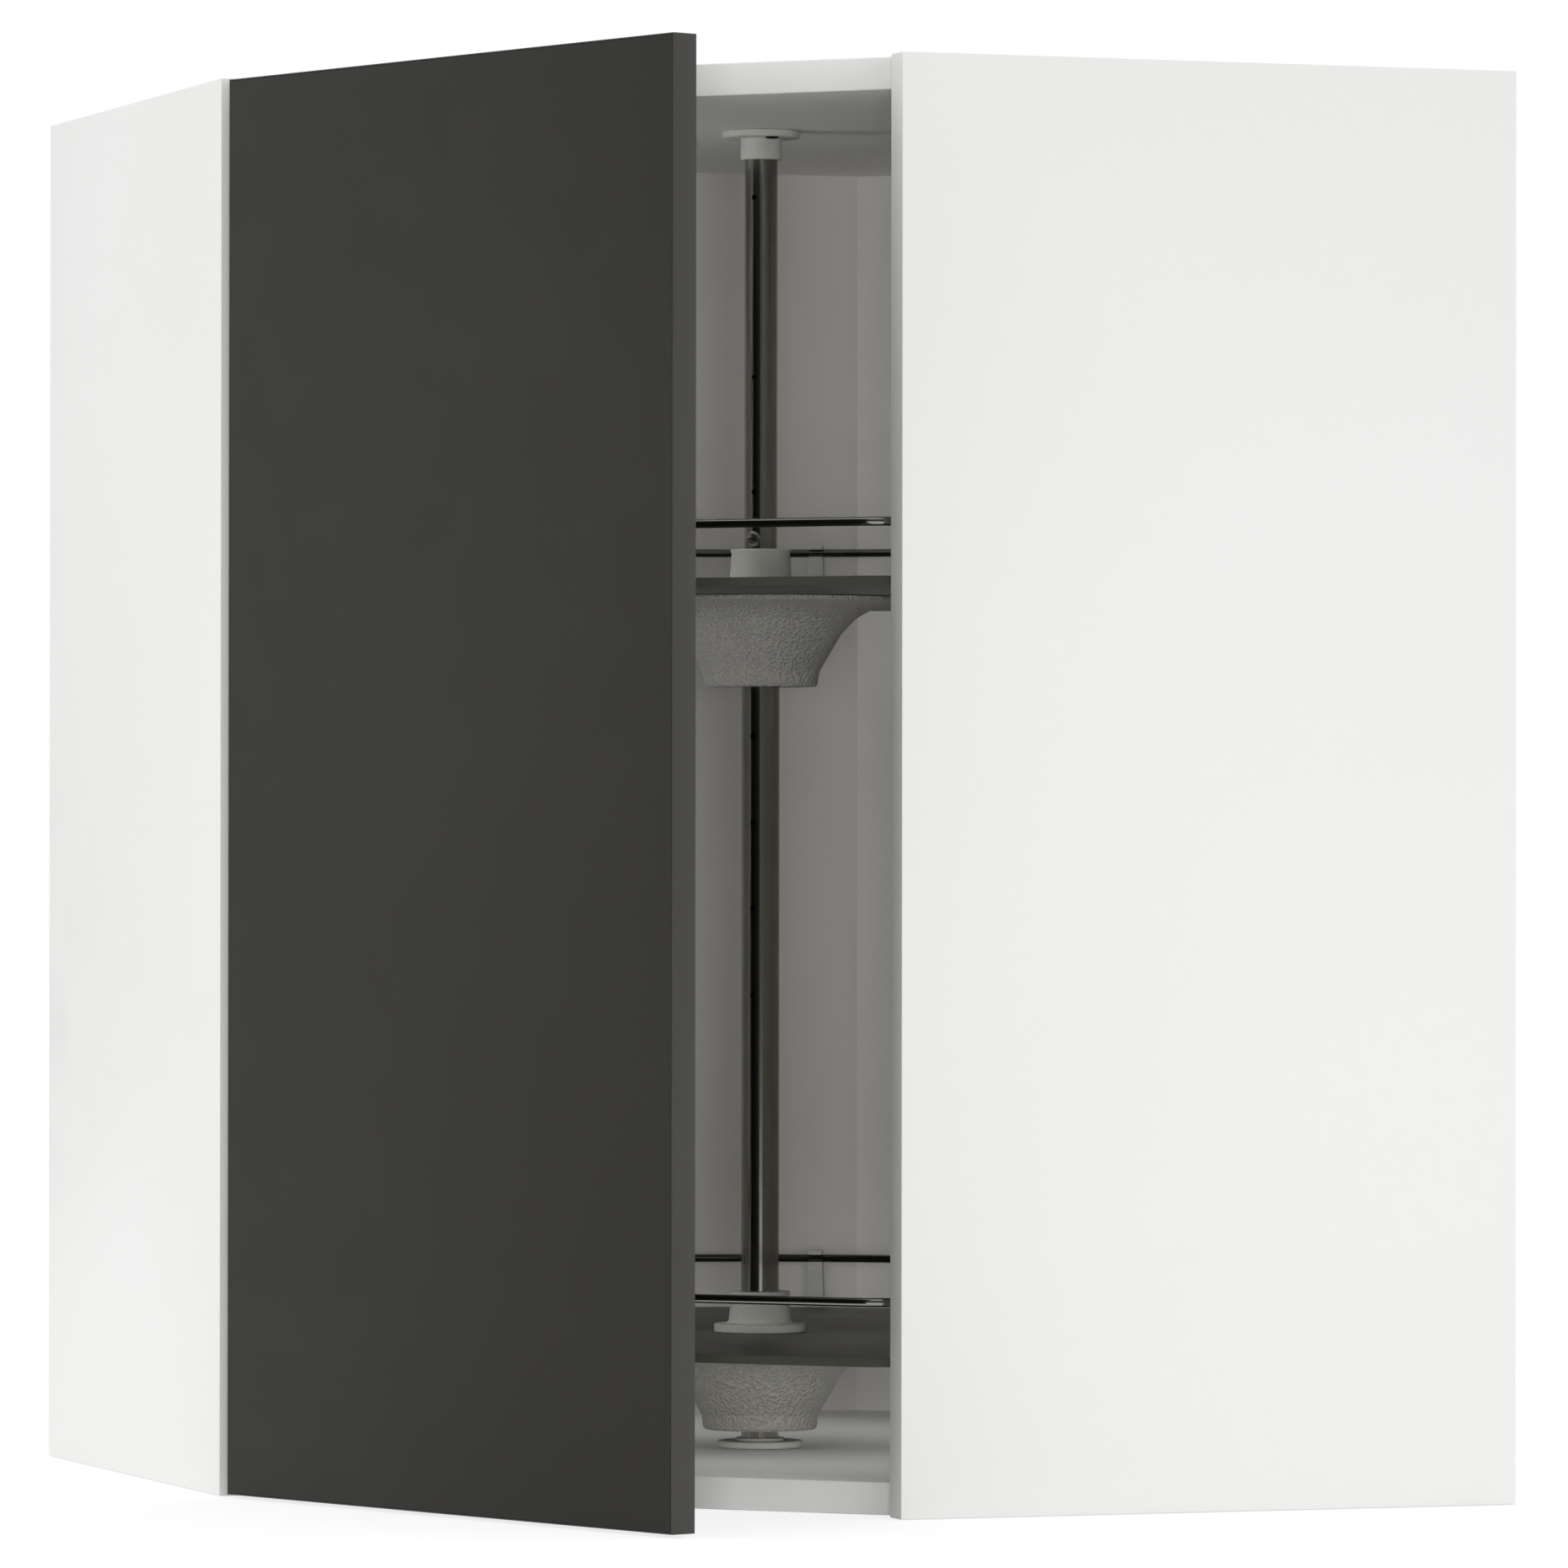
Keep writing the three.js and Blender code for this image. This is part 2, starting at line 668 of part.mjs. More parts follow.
const hingeFrame = panelFrame(leftCorner, -1);
for (const [which, height] of Object.entries(hingeHeights)) {
  const plate = hingePlateGeometry().translate(-HINGE.plateBack - HINGE.plateLength, height, CLEAR);
  add(hingeFrame, `${which}_hinge_plate`, plate, FINISH.brightSteel);
  add(cabinet, `${which}_hinge_arm`, armGeometry().translate(0, 0, height), FINISH.brightSteel);
  add(doorSpace, `${which}_hinge_cup`, cupGeometry(height), FINISH.brightSteel);
  const crank = add(cabinet, `${which}_hinge_crank`, crankGeometry(), FINISH.brightSteel);
  crank.position.set(crankPin.x, crankPin.y, height);
  crank.rotation.z = restTurn;
  const strut = add(cabinet, `${which}_hinge_strut`, strutGeometry(), FINISH.brightSteel);
  strut.position.set(strutPin.x, strutPin.y, height);
}

// ---------------------------------------------------------------- carousel post

function baseGeometry() {
  const { basePlateRadius, basePlateThickness, baseLipWall, baseLipHeight, lowerRadius, wall } = POST;
  const { spigotHeight, spigotChamfer, edgeRound, footRound } = POST;
  const seat = lowerRadius + CLEAR;
  const lipTop = basePlateThickness + baseLipHeight;
  const spigot = lowerRadius - wall - CLEAR;
  const spigotTop = basePlateThickness + spigotHeight;
  return turned([
    [0, 0],
    [basePlateRadius - footRound, 0],
    [basePlateRadius, footRound],
    [basePlateRadius, basePlateThickness - edgeRound],
    [basePlateRadius - edgeRound, basePlateThickness],
    [seat + baseLipWall, basePlateThickness],
    [seat + baseLipWall, lipTop],
    [seat, lipTop],
    [seat, basePlateThickness],
    [spigot, basePlateThickness],
    [spigot, spigotTop - spigotChamfer],
    [spigot - spigotChamfer, spigotTop],
    [0, spigotTop],
  ]);
}
add(cabinet, "post_base", baseGeometry().translate(0, 0, postFoot), FINISH.smoothPlastic);

const highestHole = trays.upper - bowlFootDrop - POST.lowerHoleDrop;
const lowerHoles = Array.from({ length: POST.lowerHoleCount }, (_, i) => highestHole - i * POST.holePitch);
const upperHoles = [...POST.upperHoleRises.map((rise) => screwHeight + rise), ceiling - POST.topHoleDrop];
add(
  cabinet,
  "lower_post_tube",
  cut(
    tube(POST.lowerRadius, POST.lowerRadius - POST.wall, lowerTubeFoot, lowerTubeTop),
    ...lowerHoles.map((z) => drill(POST.holeRadius, z, POST.lowerRadius * 2)),
  ),
  FINISH.postSteel,
);
add(
  cabinet,
  "upper_post_tube",
  cut(
    tube(upperRadius, upperRadius - POST.wall, lowerTubeTop - POST.overlap, upperTubeTop),
    ...upperHoles.map((z) => drill(POST.holeRadius, z, upperRadius * 2)),
    drill(POST.screwShankRadius + CLEAR, screwHeight, upperRadius * 2),
  ),
  FINISH.postSteel,
);

// The socket holds the top of the upper tube; its flange is screwed under the top panel.
function socketGeometry() {
  const { socketFlangeRadius, socketFlangeThickness, socketWall, socketHeight, socketRoof } = POST;
  const { socketChamfer, edgeRound } = POST;
  const inner = upperRadius + CLEAR;
  const outer = inner + socketWall;
  const foot = -socketFlangeThickness - socketHeight;
  return turned([
    [0, 0],
    [socketFlangeRadius, 0],
    [socketFlangeRadius, edgeRound - socketFlangeThickness],
    [socketFlangeRadius - edgeRound, -socketFlangeThickness],
    [outer, -socketFlangeThickness],
    [outer, foot + socketChamfer],
    [outer - socketChamfer, foot],
    [inner, foot],
    [inner, -socketRoof],
    [0, -socketRoof],
  ]);
}
add(cabinet, "post_socket", socketGeometry().translate(0, 0, socketTop), FINISH.smoothPlastic);

// A domed head with a crossed recess, on a pointed shank that passes through the tube's wall.
function screwGeometry() {
  const { screwHeadRadius, screwHeadHeight, screwRim, screwShankRadius, screwShankLength } = POST;
  const { screwSlot, screwSlotLength, screwSlotDepth } = POST;
  const crown = screwHeadHeight - screwRim;
  const dome = new THREE.EllipseCurve(0, screwRim, screwHeadRadius, crown, 0, Math.PI / 2);
  const body = turned(
    [
      [0, -screwShankLength],
      [screwShankRadius, screwShankRadius / 2 - screwShankLength],
      [screwShankRadius, 0],
      [screwHeadRadius, 0],
      ...dome.getPoints(3).slice(0, -1).map(({ x, y }) => [x, y]),
      [0, screwHeadHeight],
    ],
    FACETS / 2,
  );
  const slots = [
    [screwSlotLength, screwSlot],
    [screwSlot, screwSlotLength],
  ].map(([x, y]) => new THREE.BoxGeometry(x, y, 2 * screwSlotDepth).translate(0, 0, screwHeadHeight));
  return cut(body, ...slots)
    .rotateX(Math.PI / 2)
    .translate(0, -upperRadius - CLEAR, screwHeight);
}
add(cabinet, "post_screw", screwGeometry(), FINISH.brightSteel);

// One ring is fixed on the lower tube inside each hub, and the hub's collar turns on it.
function ringGeometry(top) {
  const { ringWall, ringHeight, ringChamfer } = HUB;
  const inner = POST.lowerRadius + CLEAR;
  const outer = inner + ringWall;
  const foot = top - ringHeight;
  return turned([
    [outer - ringChamfer, foot],
    [outer, foot + ringChamfer],
    [outer, top - ringChamfer],
    [outer - ringChamfer, top],
    [inner, top],
    [inner, foot],
  ]);
}
for (const [which, trayTop] of Object.entries(trays)) {
  add(cabinet, `${which}_bearing_ring`, ringGeometry(ringTop(trayTop)), FINISH.smoothPlastic);
}

// ---------------------------------------------------------------- trays

// A circle with a straight front and rounded corners; inset moves the whole outline inwards.
function trayCurves(inset = 0) {
  const radius = trayRadius - inset;
  const round = TRAY.cornerRadius - inset;
  const front = cornerY - round;
  const edgeEnd = Math.PI - edgeStart;
  return {
    front: new THREE.LineCurve(new THREE.Vector2(-cornerX, front), new THREE.Vector2(cornerX, front)),
    right: new THREE.EllipseCurve(cornerX, cornerY, round, round, -Math.PI / 2, edgeStart),
    back: new THREE.EllipseCurve(0, 0, radius, radius, edgeStart, edgeEnd),
    left: new THREE.EllipseCurve(-cornerX, cornerY, round, round, edgeEnd, Math.PI * 1.5),
  };
}

function plateGeometry() {
  const { right, back, left } = trayCurves();
  const outline = new THREE.Shape([
    ...right.getPoints(CORNER_FACETS).slice(0, -1),
    ...back.getPoints(TRAY_FACETS).slice(0, -1),
    ...left.getPoints(CORNER_FACETS),
  ]);
  outline.holes.push(new THREE.Path().absarc(0, 0, TRAY.centreHole, 0, Math.PI * 2, true));
  return uprightBevelled(outline, -TRAY.thickness, 0, TRAY.edgeBevel, FACETS / 2, 1);
}

function wireGeometry() {
  const loop = new THREE.CurvePath();
  loop.curves.push(...Object.values(trayCurves(RIM.inset)));
  const points = loop.getSpacedPoints(WIRE_STEPS).slice(0, WIRE_STEPS);
  const path = new THREE.CatmullRomCurve3(
    points.map(({ x, y }) => new THREE.Vector3(x, y, RIM.height)),
    true,
    "centripetal",
  );
  return new THREE.TubeGeometry(path, WIRE_STEPS, RIM.wireRadius, WIRE_SIDES, true);
}

// A clip that stands on the plate and grips the wire from outside, drawn about the wire's centre line.
function postGeometry() {
  const { height, postAbove, postTopWidth, postFootWidth, gripWall, topChamfer } = RIM;
  const { footReach, footHeight } = RIM;
  const top = height + postAbove;
  const grip = RIM.wireRadius + CLEAR;
  const half = grip + gripWall;
  const slope = footReach - half;
  const side = upright(
    polygon(
      new THREE.Vector2(-footReach, CLEAR),
      new THREE.Vector2(footReach, CLEAR),
      new THREE.Vector2(footReach, footHeight),
      new THREE.Vector2(half, footHeight + slope),
      new THREE.Vector2(half, top - topChamfer),
      new THREE.Vector2(half - topChamfer, top),
      new THREE.Vector2(topChamfer - half, top),
      new THREE.Vector2(-half, top - topChamfer),
      new THREE.Vector2(-half, footHeight + slope),
      new THREE.Vector2(-footReach, footHeight),
    ),
    -postFootWidth,
    postFootWidth,
  ).rotateX(Math.PI / 2);
  const front = upright(
    polygon(
      new THREE.Vector2(-postFootWidth / 2, 0),
      new THREE.Vector2(postFootWidth / 2, 0),
      new THREE.Vector2(postTopWidth / 2, top + CLEAR),
      new THREE.Vector2(-postTopWidth / 2, top + CLEAR),
    ),
    -2 * footReach,
    2 * footReach,
  )
    .rotateX(Math.PI / 2)
    .rotateZ(Math.PI / 2);
  const through = 2 * postFootWidth;
  const channel = new THREE.CylinderGeometry(grip, grip, through, FACETS / 2).translate(0, 0, height);
  const mouthHeight = 2 * RIM.wireRadius - RIM.mouthPinch;
  const mouth = new THREE.BoxGeometry(footReach, through, mouthHeight)
    .translate(-footReach / 2, 0, height);
  return cut(common(side, front), channel, mouth);
}

// The bowl under the plate: a foot that flares into a wide flange, with a sleeve round the post inside.
function bowlGeometry() {
  const { bowlHeight, bowlFoot, footRound, flangeRadius, wall, sleeveHeight, sleeveWall } = HUB;
  const bore = POST.lowerRadius + HUB.bore;
  const foot = new THREE.Vector2(bowlFoot, footRound);
  const shoulder = new THREE.Vector2(flangeRadius, bowlHeight).sub(new THREE.Vector2(...HUB.shoulder));
  const flare = new THREE.CubicBezierCurve(
    foot,
    new THREE.Vector2(bowlFoot, 0).add(new THREE.Vector2(...HUB.flareStart)),
    shoulder.clone().sub(new THREE.Vector2(...HUB.flareEnd)),
    shoulder,
  );
  const steps = 6;
  const outside = flare.getPoints(steps);
  const inside = outside
    .map((point, i) => {
      const along = flare.getTangent(i / steps);
      return new THREE.Vector2(point.x - along.y * wall, point.y + along.x * wall);
    })
    .filter((point) => point.y > 2 * wall);
  const profile = [
    [bore, 0],
    [bowlFoot - footRound, 0],
    ...outside.map(({ x, y }) => [x, y]),
    [flangeRadius, bowlHeight - wall],
    [flangeRadius, bowlHeight],
    ...inside.reverse().map(({ x, y }) => [x, y]),
    [bowlFoot - wall, wall],
    [bore + sleeveWall, wall],
    [bore + sleeveWall, sleeveHeight],
    [bore, sleeveHeight],
  ];
  return turned(profile, BOWL_FACETS).translate(0, 0, -TRAY.thickness - CLEAR - bowlHeight);
}

// The collar on the plate: its spigot goes down through the plate and turns on the bearing ring.
function collarGeometry(postRadius) {
  const { collarHeight, collarTop, collarNeck, collarFlangeRadius, collarFlangeThickness } = HUB;
  const { collarRound, collarFillet, collarLip } = HUB;
  const bore = postRadius + HUB.bore;
  const spigot = TRAY.centreHole - HUB.spigotGap;
  const foot = ringTop(0) + CLEAR;
  const flange = CLEAR + collarFlangeThickness;
  const filletMiddle = collarFillet * (1 - SQRT1_2);
  return turned([
    [bore, foot],
    [spigot, foot],
    [spigot, CLEAR],
    [collarFlangeRadius, CLEAR],
    [collarFlangeRadius, flange - collarRound],
    [collarFlangeRadius - collarRound, flange],
    [collarNeck + collarFillet, flange],
    [collarNeck + filletMiddle, flange + filletMiddle],
    [collarNeck, flange + collarFillet],
    [collarTop, collarHeight - 2 * collarLip],
    [collarTop + collarLip / 2, collarHeight - collarLip],
    [collarTop + collarLip / 2, collarHeight - collarLip / 3],
    [collarTop, collarHeight],
    [bore, collarHeight],
  ]);
}

const collarPost = { lower: POST.lowerRadius, upper: upperRadius };
const frontAngle = edgeStart + rad(RIM.frontPostLead);
const backAngle = Math.PI / 2 - rad(RIM.backPostSpread);
const postAngles = [frontAngle, backAngle, Math.PI - backAngle, Math.PI - frontAngle];
for (const [which, trayTop] of Object.entries(trays)) {
  const tray = new THREE.Group();
  tray.position.z = trayTop;
  cabinet.add(tray);
  add(tray, `${which}_tray_plate`, plateGeometry(), FINISH.smokedPlate);
  add(tray, `${which}_rim_wire`, wireGeometry(), FINISH.brightSteel);
  add(tray, `${which}_hub_bowl`, bowlGeometry(), FINISH.grainedPlastic);
  add(tray, `${which}_hub_collar`, collarGeometry(collarPost[which]), FINISH.smoothPlastic);
  postAngles.forEach((angle, i) => {
    const post = add(tray, `${which}_rim_post_${i + 1}`, postGeometry(), FINISH.smoothPlastic);
    const reach = trayRadius - RIM.inset;
    post.position.set(reach * Math.cos(angle), reach * Math.sin(angle), 0);
    post.rotation.z = angle;
  });
}

export default cabinet;
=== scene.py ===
"""Corner carousel cabinet, dressed: boards, door, hinges, carousel post and trays, in a plain studio.

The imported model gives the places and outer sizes. Each sub-assembly has a class that makes its pieces
finer, gives them their finish and hangs them on the body that carries them. All lengths are metres and +Z
is up.
"""

from __future__ import annotations

import json
import logging
import math
from dataclasses import dataclass
from enum import Enum
from typing import Iterable, Sequence

import bmesh
import bpy
from mathutils import Color, Matrix, Vector, geometry

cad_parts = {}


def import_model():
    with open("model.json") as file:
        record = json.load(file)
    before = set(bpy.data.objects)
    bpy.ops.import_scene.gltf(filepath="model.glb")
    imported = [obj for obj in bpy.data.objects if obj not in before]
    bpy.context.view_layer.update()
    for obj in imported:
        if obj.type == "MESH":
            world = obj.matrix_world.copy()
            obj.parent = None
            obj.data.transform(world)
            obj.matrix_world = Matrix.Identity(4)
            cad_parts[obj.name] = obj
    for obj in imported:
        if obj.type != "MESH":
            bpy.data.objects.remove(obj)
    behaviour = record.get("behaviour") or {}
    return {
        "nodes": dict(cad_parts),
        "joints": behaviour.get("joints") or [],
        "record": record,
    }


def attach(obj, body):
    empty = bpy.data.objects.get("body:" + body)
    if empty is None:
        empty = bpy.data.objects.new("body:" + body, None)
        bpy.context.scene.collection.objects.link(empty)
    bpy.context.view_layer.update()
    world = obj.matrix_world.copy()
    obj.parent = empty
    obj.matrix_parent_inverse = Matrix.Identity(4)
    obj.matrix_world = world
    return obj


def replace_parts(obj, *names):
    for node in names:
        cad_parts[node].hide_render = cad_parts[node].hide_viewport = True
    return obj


LOG = logging.getLogger("cabinet")
QUARTER_TURN = math.pi / 2
EIGHTH_TURN = math.pi / 4

# The gap that pieces keep to each other, and how near points lie that are merged, in a shape and in a node.
CLEAR = 0.0003
WELD = 1e-7
NODE_WELD = 1e-5

# The angles from which an edge is rounded or shaded sharp, and those up to which faces count as one.
SHARP_EDGE = math.radians(40)
SMOOTH_ANGLE = math.radians(32)
FLAT_NODE = math.radians(1)
FLAT_HULL = math.radians(0.5)

# How many faces a full turn has, on large and on small round parts.
FINE_STEPS = 96
SMALL_STEPS = 40

# Turns that lay the Z axis along -Y, +Y, +X and -Z.
TO_FRONT = Matrix.Rotation(QUARTER_TURN, 4, "X")
TO_BACK = Matrix.Rotation(-QUARTER_TURN, 4, "X")
TO_RIGHT = Matrix.Rotation(QUARTER_TURN, 4, "Y")
TO_FLOOR = Matrix.Rotation(math.pi, 4, "X")

Colour = tuple[float, float, float, float]
Shape = bmesh.types.BMesh
Vert = bmesh.types.BMVert
Edge = bmesh.types.BMEdge
Socket = bpy.types.NodeSocket
Feed = Socket | float | Sequence[float]


class Level(Enum):
    """The two trays, and the two hinges, by height."""

    LOWER = "lower"
    UPPER = "upper"


class Side(Enum):
    """The side panels, seen from the room."""

    LEFT = "left"
    RIGHT = "right"


class Joining(Enum):
    """How a tool shape is put to a body."""

    CUT = "DIFFERENCE"
    ADD = "UNION"


# ---------------------------------------------------------------- finishes

WHITE: Colour = (1.0, 1.0, 1.0, 1.0)
EVEN = (1.0, 1.0, 1.0)

# The range that most of a pattern's values lie in.
PATTERN_RANGE = (0.3, 0.7)
PEBBLE_SMOOTHNESS = 0.6
BRIGHTEST = 255

# The places of the factor, the two colours and the result among a mix node's sockets.
MIX_FACTOR, MIX_FIRST, MIX_SECOND, MIX_RESULT = 0, 6, 7, 2


def paint(red: int, green: int, blue: int) -> Colour:
    """A linear colour from the values that a screen shows.

    Args:
        red: Red, from 0 to 255.
        green: Green, from 0 to 255.
        blue: Blue, from 0 to 255.

    Returns:
        The linear red, green, blue and alpha.
    """
    shown_colour = Color([value / BRIGHTEST for value in (red, green, blue)])
    return (*shown_colour.from_srgb_to_scene_linear(), 1.0)


class Nodes:
    """A tree of shader nodes."""

    def __init__(self, tree: bpy.types.NodeTree) -> None:
        """Takes the tree to add nodes to."""
        self.tree = tree

    def feed(self, socket: Socket, value: Feed) -> None:
        """Sets an input to a constant, or links an output to it.

        Args:
            socket: The input.
            value: The constant or the output.
        """
        if isinstance(value, Socket):
            self.tree.links.new(value, socket)
        else:
            socket.default_value = value

    def add(self, kind: str, inputs: dict[str | int, Feed] | None = None, **settings: str) -> bpy.types.Node:
        """Adds a node.

        Args:
            kind: The node's type.
            inputs: A constant or another node's output for each input, by the input's name or place.
            **settings: The node's own settings.

        Returns:
            The new node.
        """
        node = self.tree.nodes.new(kind)
        for name, setting in settings.items():
            setattr(node, name, setting)
        for key, value in (inputs or {}).items():
            self.feed(node.inputs[key], value)
        return node

    def ranged(
        self, value: Socket, source: Sequence[float], target: Sequence[float], way: str = "LINEAR"
    ) -> Socket:
        """Takes a value from one range to another.

        Args:
            value: The value.
            source: The two ends of its range.
            target: What the two ends become.
            way: How the values between them follow.

        Returns:
            The value in its new range.
        """
        ends = {"From Min": source[0], "From Max": source[1], "To Min": target[0], "To Max": target[1]}
        node = self.add("ShaderNodeMapRange", {"Value": value, **ends}, interpolation_type=way)
        return node.outputs["Result"]


class Shading(Nodes):
    """One material's nodes, round its principled shader, on the object's own coordinates."""

    def __init__(self, name: str) -> None:
        """Starts the material.

        Args:
            name: The material's name.
        """
        self.material = bpy.data.materials.new(name)
        self.material.use_nodes = True
        super().__init__(self.material.node_tree)
        self.shader = self.tree.nodes["Principled BSDF"]
        self.place = self.add("ShaderNodeTexCoord").outputs["Object"]

    def noise(self, size: float, detail: float = 2.0, stretch: Sequence[float] = EVEN) -> Socket:
        """A cloudy pattern.

        Args:
            size: How large its patches are.
            detail: How many finer layers it has.
            stretch: How much longer the patches are along each axis.

        Returns:
            The pattern's value.
        """
        scale = [1 / length for length in stretch]
        mapping = self.add("ShaderNodeMapping", {"Vector": self.place, "Scale": scale})
        inputs = {"Vector": mapping.outputs["Vector"], "Scale": 1 / size, "Detail": detail}
        return self.add("ShaderNodeTexNoise", inputs).outputs["Fac"]

    def pebbles(self, size: float) -> Socket:
        """A pebbled pattern, as of grained leather: the distance from the nearest pebble's middle."""
        inputs = {"Vector": self.place, "Scale": 1 / size, "Smoothness": PEBBLE_SMOOTHNESS}
        return self.add("ShaderNodeTexVoronoi", inputs, feature="SMOOTH_F1").outputs["Distance"]

    def tint(self, pattern: Socket, first: Colour, second: Colour) -> None:
        """Colours the surface from one colour to another.

        Args:
            pattern: The pattern that chooses between them.
            first: The colour where the pattern is low.
            second: The colour where it is high.
        """
        factor = self.ranged(pattern, PATTERN_RANGE, (0.0, 1.0))
        inputs = {MIX_FACTOR: factor, MIX_FIRST: first, MIX_SECOND: second}
        mix = self.add("ShaderNodeMix", inputs, data_type="RGBA")
        self.feed(self.shader.inputs["Base Color"], mix.outputs[MIX_RESULT])

    def rough(self, pattern: Socket, low: float, high: float) -> None:
        """Lets the roughness follow a pattern, from a low value to a high one."""
        self.feed(self.shader.inputs["Roughness"], self.ranged(pattern, PATTERN_RANGE, (low, high)))

    def bump(self, pattern: Socket, depth: float) -> None:
        """Adds relief over any relief that is there already.

        Args:
            pattern: The pattern of heights.
            depth: The relief's depth.
        """
        normal = self.shader.inputs["Normal"]
        inputs = {"Normal": link.from_socket for link in normal.links}
        bump = self.add("ShaderNodeBump", {"Height": pattern, "Distance": depth, **inputs})
        self.feed(normal, bump.outputs["Normal"])


@dataclass(frozen=True)
class Finish:
    """A surface: its colour, its second colour, and how rough it is at its smoothest and roughest."""

    name: str
    colour: Colour
    second: Colour
    smoothest: float
    roughest: float

    def material(self) -> bpy.types.Material:
        """The finish's material, made on first use."""
        found = bpy.data.materials.get(self.name)
        if found is None:
            shading = Shading(self.name)
            self.dress(shading)
            found = shading.material
            found.diffuse_color = self.colour
        return found

    def dress(self, shading: Shading) -> None:
        """Sets the shader and its patterns, which each kind of finish does in its own way."""
        raise NotImplementedError


@dataclass(frozen=True)
class Skin(Finish):
    """The skin of a board or plate: a slight relief, a tone that drifts, and patches of roughness."""

    relief: float = 0.0007
    relief_detail: float = 3.0
    relief_stretch: tuple[float, float, float] = EVEN
    depth: float = 0.00003
    drift: float = 0.35
    haze: float = 0.04375
    haze_stretch: tuple[float, float, float] = EVEN
    sheen: float = 0.5

    def dress(self, shading: Shading) -> None:
        """Sets the shader and its patterns.

        Args:
            shading: The material's nodes.
        """
        shading.feed(shading.shader.inputs["Specular IOR Level"], self.sheen)
        shading.tint(shading.noise(self.drift), self.colour, self.second)
        haze = shading.noise(self.haze, stretch=self.haze_stretch)
        shading.rough(haze, self.smoothest, self.roughest)
        shading.bump(shading.noise(self.relief, self.relief_detail, self.relief_stretch), self.depth)


@dataclass(frozen=True)
class Moulding(Finish):
    """Moulded plastic: a pebbled grain over a finer one, and patches of roughness many grains wide."""

    grain: float = 0.0012
    depth: float = 0.00006
    grains_in_patch: float = 20.0
    fine_grain_share: float = 1 / 4
    fine_depth_share: float = 1 / 3

    def dress(self, shading: Shading) -> None:
        """Sets the shader and its patterns.

        Args:
            shading: The material's nodes.
        """
        pebbles = shading.pebbles(self.grain)
        shading.tint(pebbles, self.second, self.colour)
        shading.rough(shading.noise(self.grain * self.grains_in_patch), self.smoothest, self.roughest)
        shading.bump(shading.noise(self.grain * self.fine_grain_share), self.depth * self.fine_depth_share)
        shading.bump(pebbles, self.depth)


@dataclass(frozen=True)
class Plated(Finish):
    """Plated steel, with fine streaks along the way that it was drawn."""

    streak: float = 0.0008
    streak_detail: float = 3.0
    stretch: tuple[float, float, float] = EVEN
    depth: float = 0.000004

    def dress(self, shading: Shading) -> None:
        """Sets the shader and its patterns.

        Args:
            shading: The material's nodes.
        """
        shading.feed(shading.shader.inputs["Metallic"], 1.0)
        streaks = shading.noise(self.streak, self.streak_detail, self.stretch)
        shading.tint(streaks, self.colour, self.second)
        shading.rough(streaks, self.smoothest, self.roughest)
        shading.bump(streaks, self.depth)


WHITE_FOIL = Skin("white foil", paint(246, 246, 245), paint(244, 244, 242), 0.42, 0.5)
BACK_FOIL = Skin("back foil", paint(241, 239, 235), paint(238, 236, 231), 0.55, 0.65)
DARK_FOIL = Skin("dark foil", paint(50, 49, 47), paint(48, 47, 45), 0.52, 0.56, sheen=0.1)
# The door's edge bands are real. Their foil is painted lighter than the door's own, which is partly painted
# light from the right on the door's edge.
EDGE_FOIL_PAINTED_LIGHTER = Skin("edge foil painted lighter", paint(66, 65, 62), paint(63, 62, 59), 0.45, 0.52, sheen=0.3)
SMOKED_SHEET = Skin(
    "smoked sheet",
    paint(87, 86, 79),
    paint(83, 82, 75),
    0.38,
    0.42,
    relief=0.09,
    relief_detail=0.0,
    relief_stretch=(3.0, 1.0, 1.0),
    depth=0.00004,
    drift=0.18,
    haze=0.0225,
    haze_stretch=(8.0, 1.0, 1.0),
    sheen=0.18,
)
GRAINED_PLASTIC = Moulding(
    "grained plastic", paint(196, 194, 187), paint(189, 187, 180), 0.48, 0.6, grain=0.0018, depth=0.0014
)
PLAIN_PLASTIC = Moulding("plain plastic", paint(216, 215, 208), paint(208, 207, 200), 0.45, 0.55)
POST_STEEL = Plated(
    "drawn tube", paint(176, 174, 164), paint(164, 162, 152), 0.1, 0.18, stretch=(1.0, 1.0, 60.0)
)
WIRE_CHROME = Plated("rim wire", paint(148, 147, 141), paint(136, 135, 129), 0.08, 0.14)
BLACK_STEEL = Plated("blackened steel", paint(24, 24, 24), paint(18, 18, 18), 0.4, 0.5)
NICKEL = Plated("nickel", paint(205, 203, 196), paint(190, 188, 181), 0.2, 0.3, stretch=(4.0, 4.0, 1.0))


# ---------------------------------------------------------------- shapes


def meshed(name: str, shape: Shape) -> bpy.types.Mesh:
    """Turns a shape into a mesh.

    Args:
        name: The mesh's name.
        shape: The shape, which is used up.

    Returns:
        The new mesh.
    """
    mesh = bpy.data.meshes.new(name)
    shape.to_mesh(mesh)
    shape.free()
    return mesh


def shown(name: str, data: bpy.types.ID) -> bpy.types.Object:
    """Puts a new object in the scene.

    Args:
        name: Its name.
        data: Its mesh, light or camera.

    Returns:
        The new object.
    """
    item = bpy.data.objects.new(name, data)
    bpy.context.scene.collection.objects.link(item)
    return item


def transformed(shape: Shape, matrix: Matrix) -> Shape:
    """Moves a shape.

    Args:
        shape: The shape, which is changed.
        matrix: Where its own origin and axes go.

    Returns:
        The same shape.
    """
    bmesh.ops.transform(shape, matrix=matrix, verts=shape.verts)
    return shape


